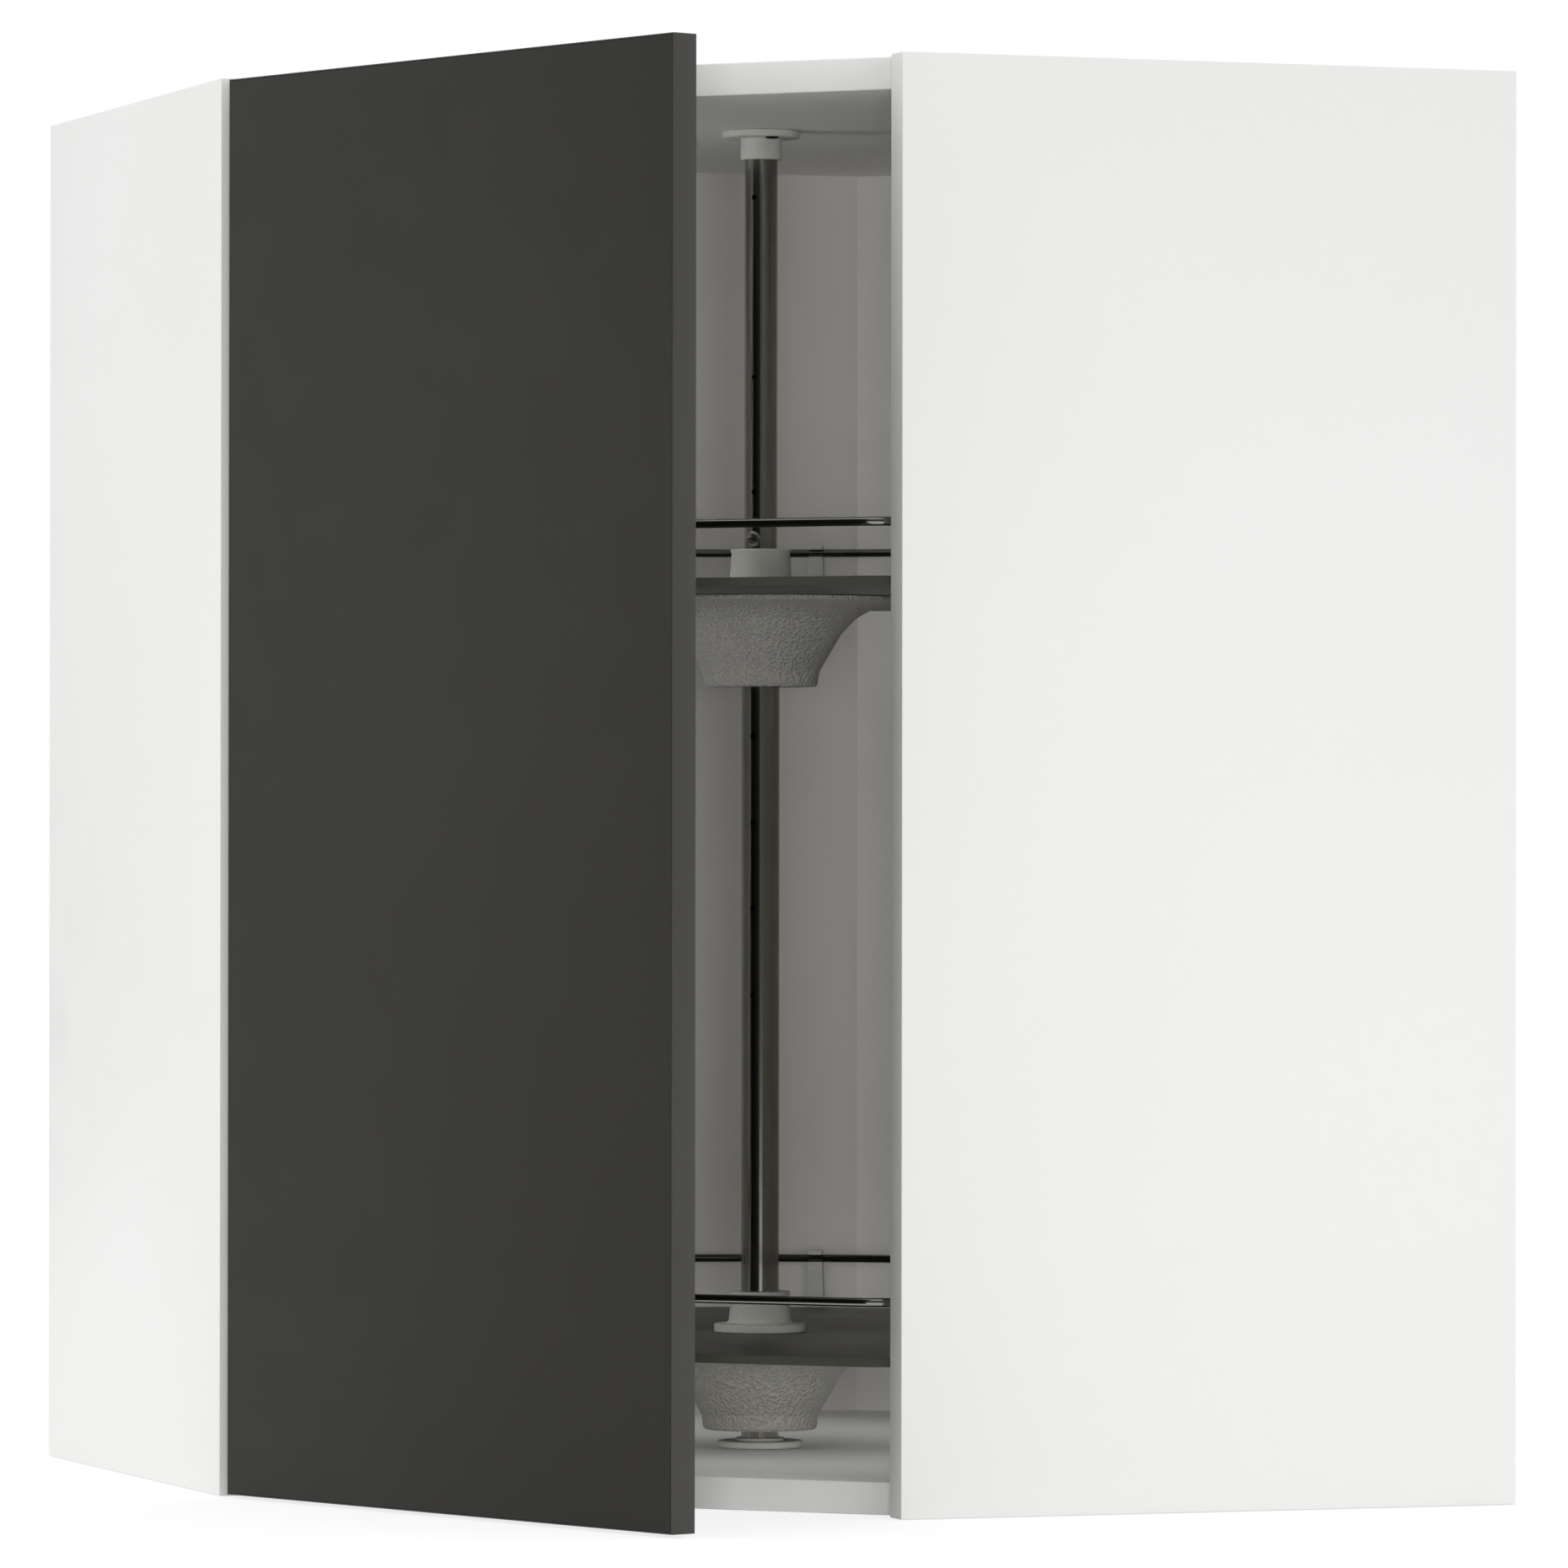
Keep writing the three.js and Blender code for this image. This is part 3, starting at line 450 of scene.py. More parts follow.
def rounded(shape: Shape, radius: float, segments: int = 3, sharper_than: float = SHARP_EDGE) -> Shape:
    """Rounds the sharp edges of a shape.

    Args:
        shape: The shape, which is changed.
        radius: The rounding's width.
        segments: How many faces it has across.
        sharper_than: The least angle between two faces whose edge is rounded.

    Returns:
        The same shape.
    """
    edges = [edge for edge in shape.edges if edge.is_manifold and edge.calc_face_angle(0.0) > sharper_than]
    bmesh.ops.bevel(
        shape,
        geom=edges,
        offset=radius,
        segments=segments,
        profile=0.5,
        affect="EDGES",
        material=-1,
        clamp_overlap=True,
    )
    return shape


def flattened(shape: Shape, angle: float) -> Shape:
    """Joins the faces that lie in one plane, and turns all faces outward.

    Args:
        shape: The shape, which is changed.
        angle: The greatest angle between two faces that are joined.

    Returns:
        The same shape.
    """
    bmesh.ops.dissolve_limit(
        shape, angle_limit=angle, use_dissolve_boundaries=False, verts=shape.verts, edges=shape.edges
    )
    bmesh.ops.recalc_face_normals(shape, faces=shape.faces)
    return shape


def block(size: Vector | Sequence[float], middle: Vector | Sequence[float]) -> Shape:
    """A box.

    Args:
        size: Its size along each axis.
        middle: Where its middle is.

    Returns:
        The new shape.
    """
    shape = bmesh.new()
    bmesh.ops.create_cube(shape, size=1.0)
    return transformed(shape, Matrix.Translation(middle) @ Matrix.Diagonal((*size, 1.0)))


def rods(
    places: Iterable[Sequence[float]], radius: float, low: float, high: float, steps: int = SMALL_STEPS
) -> Shape:
    """Upright round rods, in one shape.

    Args:
        places: The place of each, of which X and Y are used.
        radius: Their radius.
        low: The height of their feet.
        high: The height of their tops.
        steps: How many faces each has round it.

    Returns:
        The new shape.
    """
    shape = bmesh.new()
    for at in places:
        bmesh.ops.create_cone(
            shape,
            cap_ends=True,
            cap_tris=False,
            segments=steps,
            radius1=radius,
            radius2=radius,
            depth=high - low,
            matrix=Matrix.Translation((at[0], at[1], (low + high) / 2)),
        )
    return shape


def hulled(shape: Shape) -> Shape:
    """Wraps a shape in its convex hull.

    Args:
        shape: The shape, which is changed.

    Returns:
        The same shape.
    """
    hull = bmesh.ops.convex_hull(shape, input=shape.verts)
    spare = {item for key in ("geom_interior", "geom_unused") for item in hull[key]}
    bmesh.ops.delete(shape, geom=[item for item in spare if isinstance(item, Vert)], context="VERTS")
    bmesh.ops.delete(shape, geom=[face for face in shape.faces if face not in hull["geom"]], context="FACES")
    return flattened(shape, FLAT_HULL)


def quarter(radius: float, height: float, round_off: float, steps: int = 4) -> list[tuple[float, float]]:
    """The points of a quarter circle, from its outermost point to its highest.

    Args:
        radius: The radius at which its centre lies.
        height: The height of its centre.
        round_off: Its own radius.
        steps: How many parts it has.

    Returns:
        Radius and height of each point.
    """
    angles = [QUARTER_TURN * i / steps for i in range(steps + 1)]
    return [(radius + round_off * math.cos(angle), height + round_off * math.sin(angle)) for angle in angles]


def turned(
    shape: Shape,
    section: Sequence[Vert | Edge],
    angle: float,
    steps: int,
    centre: Sequence[float] = (0.0, 0.0, 0.0),
) -> list[Vert | Edge]:
    """Turns a section about an upright axis and leaves faces behind it.

    Args:
        shape: The shape that holds the section.
        section: The section's vertices and edges.
        angle: How far it turns. A full turn closes on its start.
        steps: How many faces there are along the way.
        centre: A point on the axis.

    Returns:
        The vertices and edges at the far end.
    """
    made = bmesh.ops.spin(
        shape,
        geom=section,
        cent=centre,
        axis=(0.0, 0.0, 1.0),
        dvec=(0.0, 0.0, 0.0),
        angle=angle,
        steps=steps,
        use_merge=angle == math.tau,
        use_duplicate=False,
    )
    return made["geom_last"]


def spun(profile: Sequence[tuple[float, float]], foot: float = 0.0, steps: int = FINE_STEPS) -> Shape:
    """A profile turned about the Z axis.

    Args:
        profile: Radius and height of each point. It is closed, or starts and ends on the axis.
        foot: A height that is added to the profile's.
        steps: How many faces a full turn has.

    Returns:
        The new shape.
    """
    shape = bmesh.new()
    points = [shape.verts.new((radius, 0.0, foot + height)) for radius, height in profile]
    follow = points[1:] if profile[0][0] == 0.0 else points[1:] + points[:1]
    edges = [shape.edges.new(pair) for pair in zip(points, follow)]
    turned(shape, points + edges, math.tau, steps)
    bmesh.ops.remove_doubles(shape, verts=shape.verts, dist=WELD)
    bmesh.ops.recalc_face_normals(shape, faces=shape.faces)
    return shape


def combined(body: Shape, how: Joining, *tools: Shape) -> Shape:
    """Cuts tools out of a body, or adds them to it.

    Args:
        body: The body, which is used up.
        how: Whether the tools are cut out or added.
        *tools: The tools, which are used up.

    Returns:
        The new shape.
    """
    base, *items = [shown("scratch", meshed("scratch", shape)) for shape in (body, *tools)]
    for item in items:
        modifier = base.modifiers.new(how.name, "BOOLEAN")
        modifier.operation = how.value
        modifier.solver = "EXACT"
        modifier.object = item
    result = bmesh.new()
    result.from_object(base, bpy.context.evaluated_depsgraph_get())
    for item in (base, *items):
        bpy.data.meshes.remove(item.data)
    bmesh.ops.remove_doubles(result, verts=result.verts, dist=WELD)
    return result


def merged(shapes: Iterable[Shape]) -> Shape:
    """Lays several separate shapes into one.

    Args:
        shapes: The shapes, which are used up.

    Returns:
        The new shape.
    """
    whole = bmesh.new()
    for shape in shapes:
        mesh = meshed("scratch", shape)
        whole.from_mesh(mesh)
        bpy.data.meshes.remove(mesh)
    return whole


@dataclass(frozen=True)
class Screw:
    """A screw's domed head, with a crossed recess.

    Its rim is given as a share of its height, and its slots as shares of its radius.
    """

    radius: float
    height: float
    recess: float
    rim: float = 0.4
    slot_length: float = 1.15
    slot_width: float = 0.24
    dome_steps: int = 6

    def head(self, seat: Matrix) -> Shape:
        """The head, on its seat.

        Args:
            seat: The seat's place. The head stands along its Z axis.

        Returns:
            The new shape.
        """
        rim = self.height * self.rim
        rise = (self.height - rim) / self.radius
        dome = [(x, rim + y * rise) for x, y in quarter(0.0, 0.0, self.radius, self.dome_steps)[:-1]]
        solid = spun([(0.0, 0.0), (self.radius, 0.0), *dome, (0.0, self.height)], steps=SMALL_STEPS)
        length, width = self.radius * self.slot_length, self.radius * self.slot_width
        top = (0.0, 0.0, self.height)
        slots = [block((x, y, 2 * self.recess), top) for x, y in ((length, width), (width, length))]
        return transformed(combined(solid, Joining.CUT, *slots), seat)


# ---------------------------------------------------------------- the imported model


@dataclass(frozen=True)
class Span:
    """The lowest and highest corner of a node, in axes that are turned about the vertical."""

    low: Vector
    high: Vector
    turn: float

    @property
    def size(self) -> Vector:
        """The length along each axis."""
        return self.high - self.low

    @property
    def middle(self) -> Vector:
        """The middle, in the turned axes."""
        return (self.low + self.high) / 2

    @property
    def axes(self) -> Matrix:
        """The matrix that takes a point from the turned axes to the model's."""
        return Matrix.Rotation(self.turn, 4, "Z")


class Model:
    """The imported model: its nodes, the bodies that carry them, and its joints."""

    def __init__(self) -> None:
        """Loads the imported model."""
        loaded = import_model()
        record = loaded["record"]
        self.nodes: dict[str, bpy.types.Object] = loaded["nodes"]
        self.body_of = {node: body for body, nodes in record["behaviour"]["bodies"].items() for node in nodes}
        self.slot_of = {part["node"]: part["material_slot"] for part in record["subparts"]}
        self.joint_at = {joint["name"]: Vector(joint["pos_m"]) for joint in loaded["joints"]}
        ranges = {joint["name"]: joint["range_deg"] for joint in loaded["joints"]}
        self.door_turn = math.radians(min(ranges["door_swing"]))

    def span(self, node: str, turn: float = 0.0) -> Span:
        """Measures a node.

        Args:
            node: The node's name.
            turn: The angle that the measuring axes are turned by.

        Returns:
            The node's span in those axes.
        """
        back = Matrix.Rotation(-turn, 3, "Z")
        points = [back @ vertex.co for vertex in self.nodes[node].data.vertices]
        places = list(zip(*points))
        return Span(Vector(map(min, places)), Vector(map(max, places)), turn)

    def copy(self, node: str) -> Shape:
        """A node's own shape, with its vertices merged and its flat faces whole.

        Args:
            node: The node's name.

        Returns:
            The new shape.
        """
        shape = bmesh.new()
        shape.from_mesh(self.nodes[node].data)
        bmesh.ops.remove_doubles(shape, verts=shape.verts, dist=NODE_WELD)
        return flattened(shape, FLAT_NODE)

    def place(self, name: str, shape: Shape, finish: Finish, like: str) -> bpy.types.Object:
        """Makes a finished piece of a shape and hangs it on its body.

        Args:
            name: The piece's name.
            shape: The piece's shape, which is used up.
            finish: Its finish.
            like: The node whose body it shares.

        Returns:
            The new piece.
        """
        mesh = meshed(name, shape)
        for layer in [layer for layer in mesh.attributes if layer.name == "custom_normal"]:
            mesh.attributes.remove(layer)
        mesh.shade_smooth()
        mesh.set_sharp_from_angle(angle=SMOOTH_ANGLE)
        mesh.materials.clear()
        mesh.materials.append(finish.material())
        piece = shown(name, mesh)
        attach(piece, self.body_of[like])
        LOG.info("%s: %d faces on %s", name, len(mesh.polygons), self.body_of[like])
        return piece

    def refine(self, node: str, shape: Shape, finish: Finish) -> None:
        """Puts a piece of a finer shape, which is used up, in a node's place."""
        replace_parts(self.place(f"fine_{node}", shape, finish, node), node)

    def ease(self, node: str, radius: float, finish: Finish, segments: int = 3) -> None:
        """Puts a node's own shape in its place, with its sharp edges rounded."""
        self.refine(node, rounded(self.copy(node), radius, segments), finish)


# ---------------------------------------------------------------- sub-assemblies


@dataclass
class Carcass:
    """The side, top and bottom panels, and the boards that close the back."""

    model: Model
    edge_radius: float = 0.0006
    rail_edge_radius: float = 0.0009
    thin_edge_radius: float = 0.0001
    spread: float = 0.00036

    def build(self) -> None:
        """Makes every board."""
        for side in Side:
            self.model.ease(f"{side.value}_side_panel", self.edge_radius, WHITE_FOIL)
        for node in ("top_panel", "bottom_panel"):
            shape = rounded(self.snug(node, EIGHTH_TURN), self.rail_edge_radius)
            self.model.refine(node, shape, WHITE_FOIL)
        for node, turn in (
            ("left_back_panel", EIGHTH_TURN),
            ("right_back_panel", EIGHTH_TURN),
            ("back_corner_panel", 0.0),
        ):
            shape = rounded(self.snug(node, turn), self.thin_edge_radius, segments=2)
            self.model.refine(node, shape, BACK_FOIL)

    def snug(self, node: str, turn: float) -> Shape:
        """A board's shape, spread in its own plane until it closes the joints round it.

        Args:
            node: The board's node.
            turn: The angle of the board's own axes.

        Returns:
            The new shape.
        """
        span = self.model.span(node, turn)
        thickness = min(span.size)
        spread = [1.0 if size == thickness else 1.0 + 2 * self.spread / size for size in span.size]
        middle = span.axes @ Matrix.Translation(span.middle)
        spreading = middle @ Matrix.Diagonal((*spread, 1.0)) @ middle.inverted()
        return transformed(self.model.copy(node), spreading)


@dataclass
class Door:
    """The slab door, bored for its two hinge cups, with bands round its edges."""

    model: Model
    edge_radius: float = 0.0005
    band: float = 0.0008
    seam: float = 0.00015
    cup_radius: float = 0.0178
    cup_depth: float = 0.0118

    def build(self) -> None:
        """Makes the door and its edge bands, part open as the model has them."""
        slab = self.model.span("door_panel", self.model.door_turn)
        inset = Vector((1.0, 0.0, 1.0)) * (self.band + self.seam)
        shape = rounded(block(slab.size - 2 * inset, slab.middle), self.edge_radius / 2, segments=2)
        bores = []
        for level in Level:
            cup = self.model.span(f"{level.value}_hinge_cup", self.model.door_turn)
            place = Matrix.Translation((cup.middle.x, slab.high.y, cup.middle.z)) @ TO_BACK
            bore = rods([(0.0, 0.0)], self.cup_radius, -self.cup_depth, self.cup_depth)
            bores.append(transformed(bore, place))
        shape = transformed(combined(shape, Joining.CUT, *bores), slab.axes)
        self.model.refine("door_panel", shape, DARK_FOIL)
        bands = [self.edge_band(slab, axis, sign) for axis in (0, 2) for sign in (-1, 1)]
        # The bands' lighter tone is partly painted light from the right on the door's edge.
        self.model.place("door_edge_bands", merged(bands), EDGE_FOIL_PAINTED_LIGHTER, "door_panel")

    def edge_band(self, slab: Span, axis: int, sign: int) -> Shape:
        """A thin band along one edge of the slab.

        Args:
            slab: The slab's span, bands and all.
            axis: 0 for the bands of the upright edges, 2 for those of the level ones.
            sign: Which of the two edges, -1 or 1.

        Returns:
            The new shape.
        """
        size = slab.size.copy()
        size[axis] = self.band
        if axis == 2:
            size.x -= 2 * (self.band + self.seam)
        middle = slab.middle.copy()
        middle[axis] += sign * (slab.size[axis] - self.band) / 2
        return transformed(rounded(block(size, middle), self.edge_radius), slab.axes)


@dataclass
class Levelled:
    """A sub-assembly that the cabinet has twice, one above the other."""

    model: Model
    level: Level

    def node(self, part: str) -> str:
        """The name of one of its nodes, from the name without its first word."""
        return f"{self.level.value}_{part}"

    def span(self, part: str, turn: float = 0.0) -> Span:
        """Measures one of its nodes, named without its first word, in axes turned by an angle."""
        return self.model.span(self.node(part), turn)


@dataclass
class Hinge(Levelled):
    """One concealed hinge: plate and arm on the side panel, crank, strut, and the cup in the door."""

    cup_radius: float = 0.0175
    cup_depth: float = 0.0115
    cup_wall: float = 0.0012
    flange_width: float = 0.052
    flange_depth: float = 0.0245
    flange_round: float = 0.004
    flange_thickness: float = 0.0012
    pin_radius: float = 0.0016
    bore_radius: float = 0.0019
    eye_radius: float = 0.003
    eye_height: float = 0.008
    cheek: float = 0.0026
    web_thickness: float = 0.0036
    web_inset: float = 0.0063
    strut_thickness: float = 0.0044
    notch_gap: float = 0.0006
    notch_depth: float = 0.0018
    wing_thickness: float = 0.0025
    wing_hole_inset: float = 0.0067
    edge_radius: float = 0.0003
    screw: Screw = Screw(radius=0.0034, height=0.0016, recess=0.00096)

    @property
    def height(self) -> float:
        """The height of the hinge's middle."""
        return self.span("hinge_cup").middle.z

    def pins(self) -> tuple[Vector, Vector, Vector]:
        """The places of the pins in the arm, in the crank's far end, and in the cup."""
        arm = self.model.joint_at["hinge_crank_turn"]
        crank = self.model.joint_at["hinge_strut_turn"]
        return arm, crank, self.model.joint_at["door_swing"] + crank - arm

    def build(self) -> None:
        """Makes the hinge's five parts and its screws."""
        self.model.ease(self.node("hinge_plate"), self.edge_radius, NICKEL)
        parts = {"arm": self.arm(), "crank": self.crank(), "strut": self.strut(), "cup": self.cup()}
        for part, shape in parts.items():
            self.model.refine(self.node(f"hinge_{part}"), shape, NICKEL)
        self.plate_screws()
        self.flange_screws()

    def arm(self) -> Shape:
        """The arm, with a round knuckle for the crank's pin."""
        pin, _, _ = self.pins()
        half = self.eye_height / 2
        knuckle = rods([pin], self.eye_radius, self.height - half, self.height + half)
        bore = rods([pin], self.bore_radius, self.height - 2 * half, self.height + 2 * half)
        shape = rounded(self.model.copy(self.node("hinge_arm")), self.edge_radius)
        return combined(combined(shape, Joining.ADD, knuckle), Joining.CUT, bore)

    def crank(self) -> Shape:
        """Two cheeks on a web, with a pin at each end."""
        near, far, _ = self.pins()
        inner = self.eye_height / 2 + CLEAR
        outer = inner + self.cheek
        sides = (self.height + inner, self.height + outer), (self.height - outer, self.height - inner)
        upper, lower = (
            rounded(hulled(rods((near, far), self.eye_radius, *side)), self.edge_radius) for side in sides
        )
        inset = (far - near).normalized() * (self.web_inset + self.web_thickness / 2)
        reach = outer - self.cheek / 2
        web_ends = (near + inset, far - inset)
        web = hulled(rods(web_ends, self.web_thickness / 2, self.height - reach, self.height + reach))
        pins = [
            rods([at], self.pin_radius, self.height - outer - CLEAR, self.height + outer + CLEAR)
            for at in (near, far)
        ]
        return combined(upper, Joining.ADD, lower, web, *pins)

    def strut(self) -> Shape:
        """One bar with an eye at each end."""
        _, near, far = self.pins()
        ends = (near, far)
        low, high = self.height - self.eye_height / 2, self.height + self.eye_height / 2
        through = (low - self.eye_height, high + self.eye_height)
        eyes = [rods([at], self.eye_radius, low, high) for at in ends]
        shape = combined(hulled(rods(ends, self.strut_thickness / 2, low, high)), Joining.ADD, *eyes)
        shape = rounded(shape, self.edge_radius, segments=2)
        bores = [rods([at], self.bore_radius, *through) for at in ends]
        return combined(shape, Joining.CUT, *bores)

    def cup_axes(self) -> Matrix:
        """Where the cup goes. It is drawn mouth up, foot below the XY plane, and the pin's side at +Y."""
        cup = self.span("hinge_cup", self.model.door_turn)
        back = cup.high.y - self.flange_thickness - CLEAR
        place = Matrix.Translation((cup.middle.x, back, cup.middle.z))
        return cup.axes @ place @ TO_BACK @ Matrix.Rotation(QUARTER_TURN, 4, "Z")

    def pan(self, inner: float, lip: float) -> Shape:
        """The cup's round pan, with a notch for the strut.

        Args:
            inner: The radius of the pan's inside.
            lip: The height of its lip.

        Returns:
            The new shape.
        """
        floor = self.cup_wall - self.cup_depth
        profile = [
            (0.0, -self.cup_depth),
            (inner, -self.cup_depth),
            (self.cup_radius, floor),
            (self.cup_radius, lip - CLEAR),
            (self.cup_radius - CLEAR, lip),
            (inner + CLEAR, lip),
            (inner, lip - CLEAR),
            (inner, floor),
            (0.0, floor),
        ]
        width = self.eye_height + 2 * self.notch_gap
        notch = block((width, self.cup_radius, 2 * self.notch_depth), (0.0, self.cup_radius, 0.0))
        return combined(spun(profile), Joining.CUT, notch)

    def cup(self) -> Shape:
        """A round pan with a flange, and the pin across it."""
        lip = self.flange_thickness + CLEAR
        inner = self.cup_radius - self.cup_wall
        middle = (inner + self.cup_radius) / 2
        across = self.flange_width / 2 - self.flange_round
        tall = self.flange_depth / 2 - self.flange_round
        corners = ((across, tall), (-across, tall), (-across, -tall), (across, -tall))
        wings = rounded(hulled(rods(corners, self.flange_round, CLEAR, lip)), self.edge_radius)
        wings = combined(wings, Joining.CUT, rods([(0.0, 0.0)], middle, -lip, 3 * lip, FINE_STEPS))
        shape = combined(self.pan(inner, lip), Joining.ADD, wings)
        _, _, pin_at = self.pins()
        pin_local = self.cup_axes().inverted() @ Vector((pin_at.x, pin_at.y, self.height))
        reach = math.sqrt(middle**2 - pin_local.y**2)
        lying = Matrix.Translation((0.0, pin_local.y, pin_local.z)) @ TO_RIGHT
        cross_pin = transformed(rods([(0.0, 0.0)], self.pin_radius, -reach, reach), lying)
        return transformed(combined(shape, Joining.ADD, cross_pin), self.cup_axes())

    def plate_screws(self) -> None:
        """Screws that hold the plate's wings to the side panel."""
        plate = self.span("hinge_plate", -EIGHTH_TURN)
        heads = []
        for height in (plate.low.z + self.wing_hole_inset, plate.high.z - self.wing_hole_inset):
            seat = Matrix.Translation((plate.middle.x, plate.low.y + self.wing_thickness, height))
            heads.append(self.screw.head(plate.axes @ seat @ TO_BACK))
        self.model.place(self.node("plate_screws"), merged(heads), NICKEL, self.node("hinge_plate"))

    def flange_screws(self) -> None:
        """Screws that hold the cup's flange to the door."""
        heads = []
        for side in (-1, 1):
            across = side * (self.flange_width / 2 - self.flange_round)
            seat = Matrix.Translation((across, 0.0, self.flange_thickness + CLEAR))
            heads.append(self.screw.head(self.cup_axes() @ seat))
        self.model.place(self.node("flange_screws"), merged(heads), NICKEL, self.node("hinge_cup"))


@dataclass
class Hangers:
    """The two brackets that hang the cabinet on its wall rail."""

    model: Model
    edge_radius: float = 0.0003

    def build(self) -> None:
        """Makes both brackets, with their edges eased."""
        for side in Side:
            self.model.ease(f"{side.value}_hanger_bracket", self.edge_radius, NICKEL, segments=2)


@dataclass
class Post:
    """The carousel's post: base, two telescoping tubes, screw, socket and bearing rings."""

    model: Model
    wall: float = 0.0012
    chamfer: float = 0.0009
    plate_thickness: float = 0.004
    lip_wall: float = 0.0027
    lip_height: float = 0.0016
    edge_round: float = 0.0012
    foot_round: float = 0.0008
    flange_thickness: float = 0.004
    socket_wall: float = 0.0022
    socket_roof: float = 0.002
    socket_chamfer: float = 0.0006
    hole_radius: float = 0.0015
    hole_pitch: float = 0.0498
    lower_hole_count: int = 4
    lower_hole_drop: float = 0.0292
    upper_hole_rises: tuple[float, ...] = (0.0272, 0.0936)
    top_hole_drop: float = 0.0386
    tube_screw: Screw = Screw(radius=0.0045, height=0.0024, recess=0.0012)
    flange_screw: Screw = Screw(radius=0.004, height=0.0012, recess=0.0006)
    flange_screw_angles: tuple[float, float] = (-43.0, 137.0)

    def build(self) -> None:
        """Makes the post's parts from the floor up, then the bearing rings."""
        self.model.refine("post_base", self.base(), PLAIN_PLASTIC)
        self.tubes()
        self.socket()
        for level in Level:
            node = f"{level.value}_bearing_ring"
            self.model.refine(node, self.ring(node), PLAIN_PLASTIC)

    def base(self) -> Shape:
        """A round foot plate with a lip round the tube and a spigot inside it."""
        whole = self.model.span("post_base")
        tube = self.model.span("lower_post_tube").high.x
        radius = whole.high.x
        seat = tube + CLEAR
        spigot = tube - self.wall - CLEAR
        lip_top = self.plate_thickness + self.lip_height
        top = whole.size.z
        profile = [(0.0, 0.0), (radius - self.foot_round, 0.0), (radius, self.foot_round)]
        profile += quarter(radius - self.edge_round, self.plate_thickness - self.edge_round, self.edge_round)
        profile += [(seat + self.lip_wall, self.plate_thickness)]
        profile += quarter(seat + self.lip_wall - CLEAR, lip_top - CLEAR, CLEAR)
        profile += [(seat, lip_top), (seat, self.plate_thickness), (spigot, self.plate_thickness)]
        profile += [(spigot, top - self.chamfer), (spigot - self.chamfer, top), (0.0, top)]
        return spun(profile, foot=whole.low.z)

    def tube(self, node: str, holes: Iterable[float]) -> Shape:
        """A tube with holes in the wall that faces the door.

        Args:
            node: The tube's node.
            holes: The holes' heights.

        Returns:
            The new shape.
        """
        span = self.model.span(node)
        radius, length, edge = span.high.x, span.size.z, CLEAR / 2
        inner = radius - self.wall
        profile = [(radius - edge, 0.0), (radius, edge), (radius, length - edge), (radius - edge, length)]
        profile += [(inner, length), (inner, 0.0)]
        drills = []
        for height in holes:
            drill = rods([(0.0, 0.0)], self.hole_radius, 0.0, 2 * radius)
            drills.append(transformed(drill, Matrix.Translation((0.0, 0.0, height)) @ TO_FRONT))
        return combined(spun(profile, foot=span.low.z), Joining.CUT, *drills)

    def tubes(self) -> None:
        """The lower and upper tube, and the screw that locks the upper one."""
        bowl = self.model.span("upper_hub_bowl")
        screw = self.model.span("post_screw")
        top = self.model.span("post_socket")
        highest = bowl.low.z - self.lower_hole_drop
        lower = [highest - i * self.hole_pitch for i in range(self.lower_hole_count)]
        upper = [screw.middle.z + rise for rise in self.upper_hole_rises] + [top.high.z - self.top_hole_drop]
        self.model.refine("lower_post_tube", self.tube("lower_post_tube", lower), POST_STEEL)
        self.model.refine("upper_post_tube", self.tube("upper_post_tube", upper), POST_STEEL)
        seat = self.model.span("upper_post_tube").low.y - CLEAR
        place = Matrix.Translation((0.0, seat, screw.middle.z)) @ TO_FRONT
        self.model.refine("post_screw", self.tube_screw.head(place), NICKEL)

    def socket(self) -> None:
        """The socket under the top panel, and the two screws in its flange."""
        whole = self.model.span("post_socket")
        inner = self.model.span("upper_post_tube").high.x + CLEAR
        outer = inner + self.socket_wall
        radius, depth = whole.high.x, whole.size.z
        under = depth - self.flange_thickness
        profile = [(0.0, depth), (radius, depth)]
        rim = quarter(radius - self.edge_round, 0.0, self.edge_round)
        profile += [(x, under + self.edge_round - y) for x, y in rim]
        profile += [(outer + CLEAR, under), (outer, under - CLEAR)]
        profile += [(outer, self.socket_chamfer), (outer - self.socket_chamfer, 0.0), (inner, 0.0)]
        profile += [(inner, depth - self.socket_roof), (0.0, depth - self.socket_roof)]
        self.model.refine("post_socket", spun(profile, foot=whole.low.z), PLAIN_PLASTIC)
        ring = Vector(((radius + outer) / 2, 0.0, whole.low.z + under))
        heads = []
        for degrees in self.flange_screw_angles:
            place = Matrix.Translation(Matrix.Rotation(math.radians(degrees), 3, "Z") @ ring)
            heads.append(self.flange_screw.head(place @ TO_FLOOR))
        self.model.place("socket_screws", merged(heads), BLACK_STEEL, "post_socket")

    def ring(self, node: str) -> Shape:
        """A bearing ring on the lower tube.

        Args:
            node: The ring's node.

        Returns:
            The new shape.
        """
        whole = self.model.span(node)
        inner = self.model.span("lower_post_tube").high.x + CLEAR
        outer, height, edge = whole.high.x, whole.size.z, self.chamfer
        profile = [(outer - edge, 0.0), (outer, edge), (outer, height - edge), (outer - edge, height)]
        return spun([*profile, (inner, height), (inner, 0.0)], foot=whole.low.z)


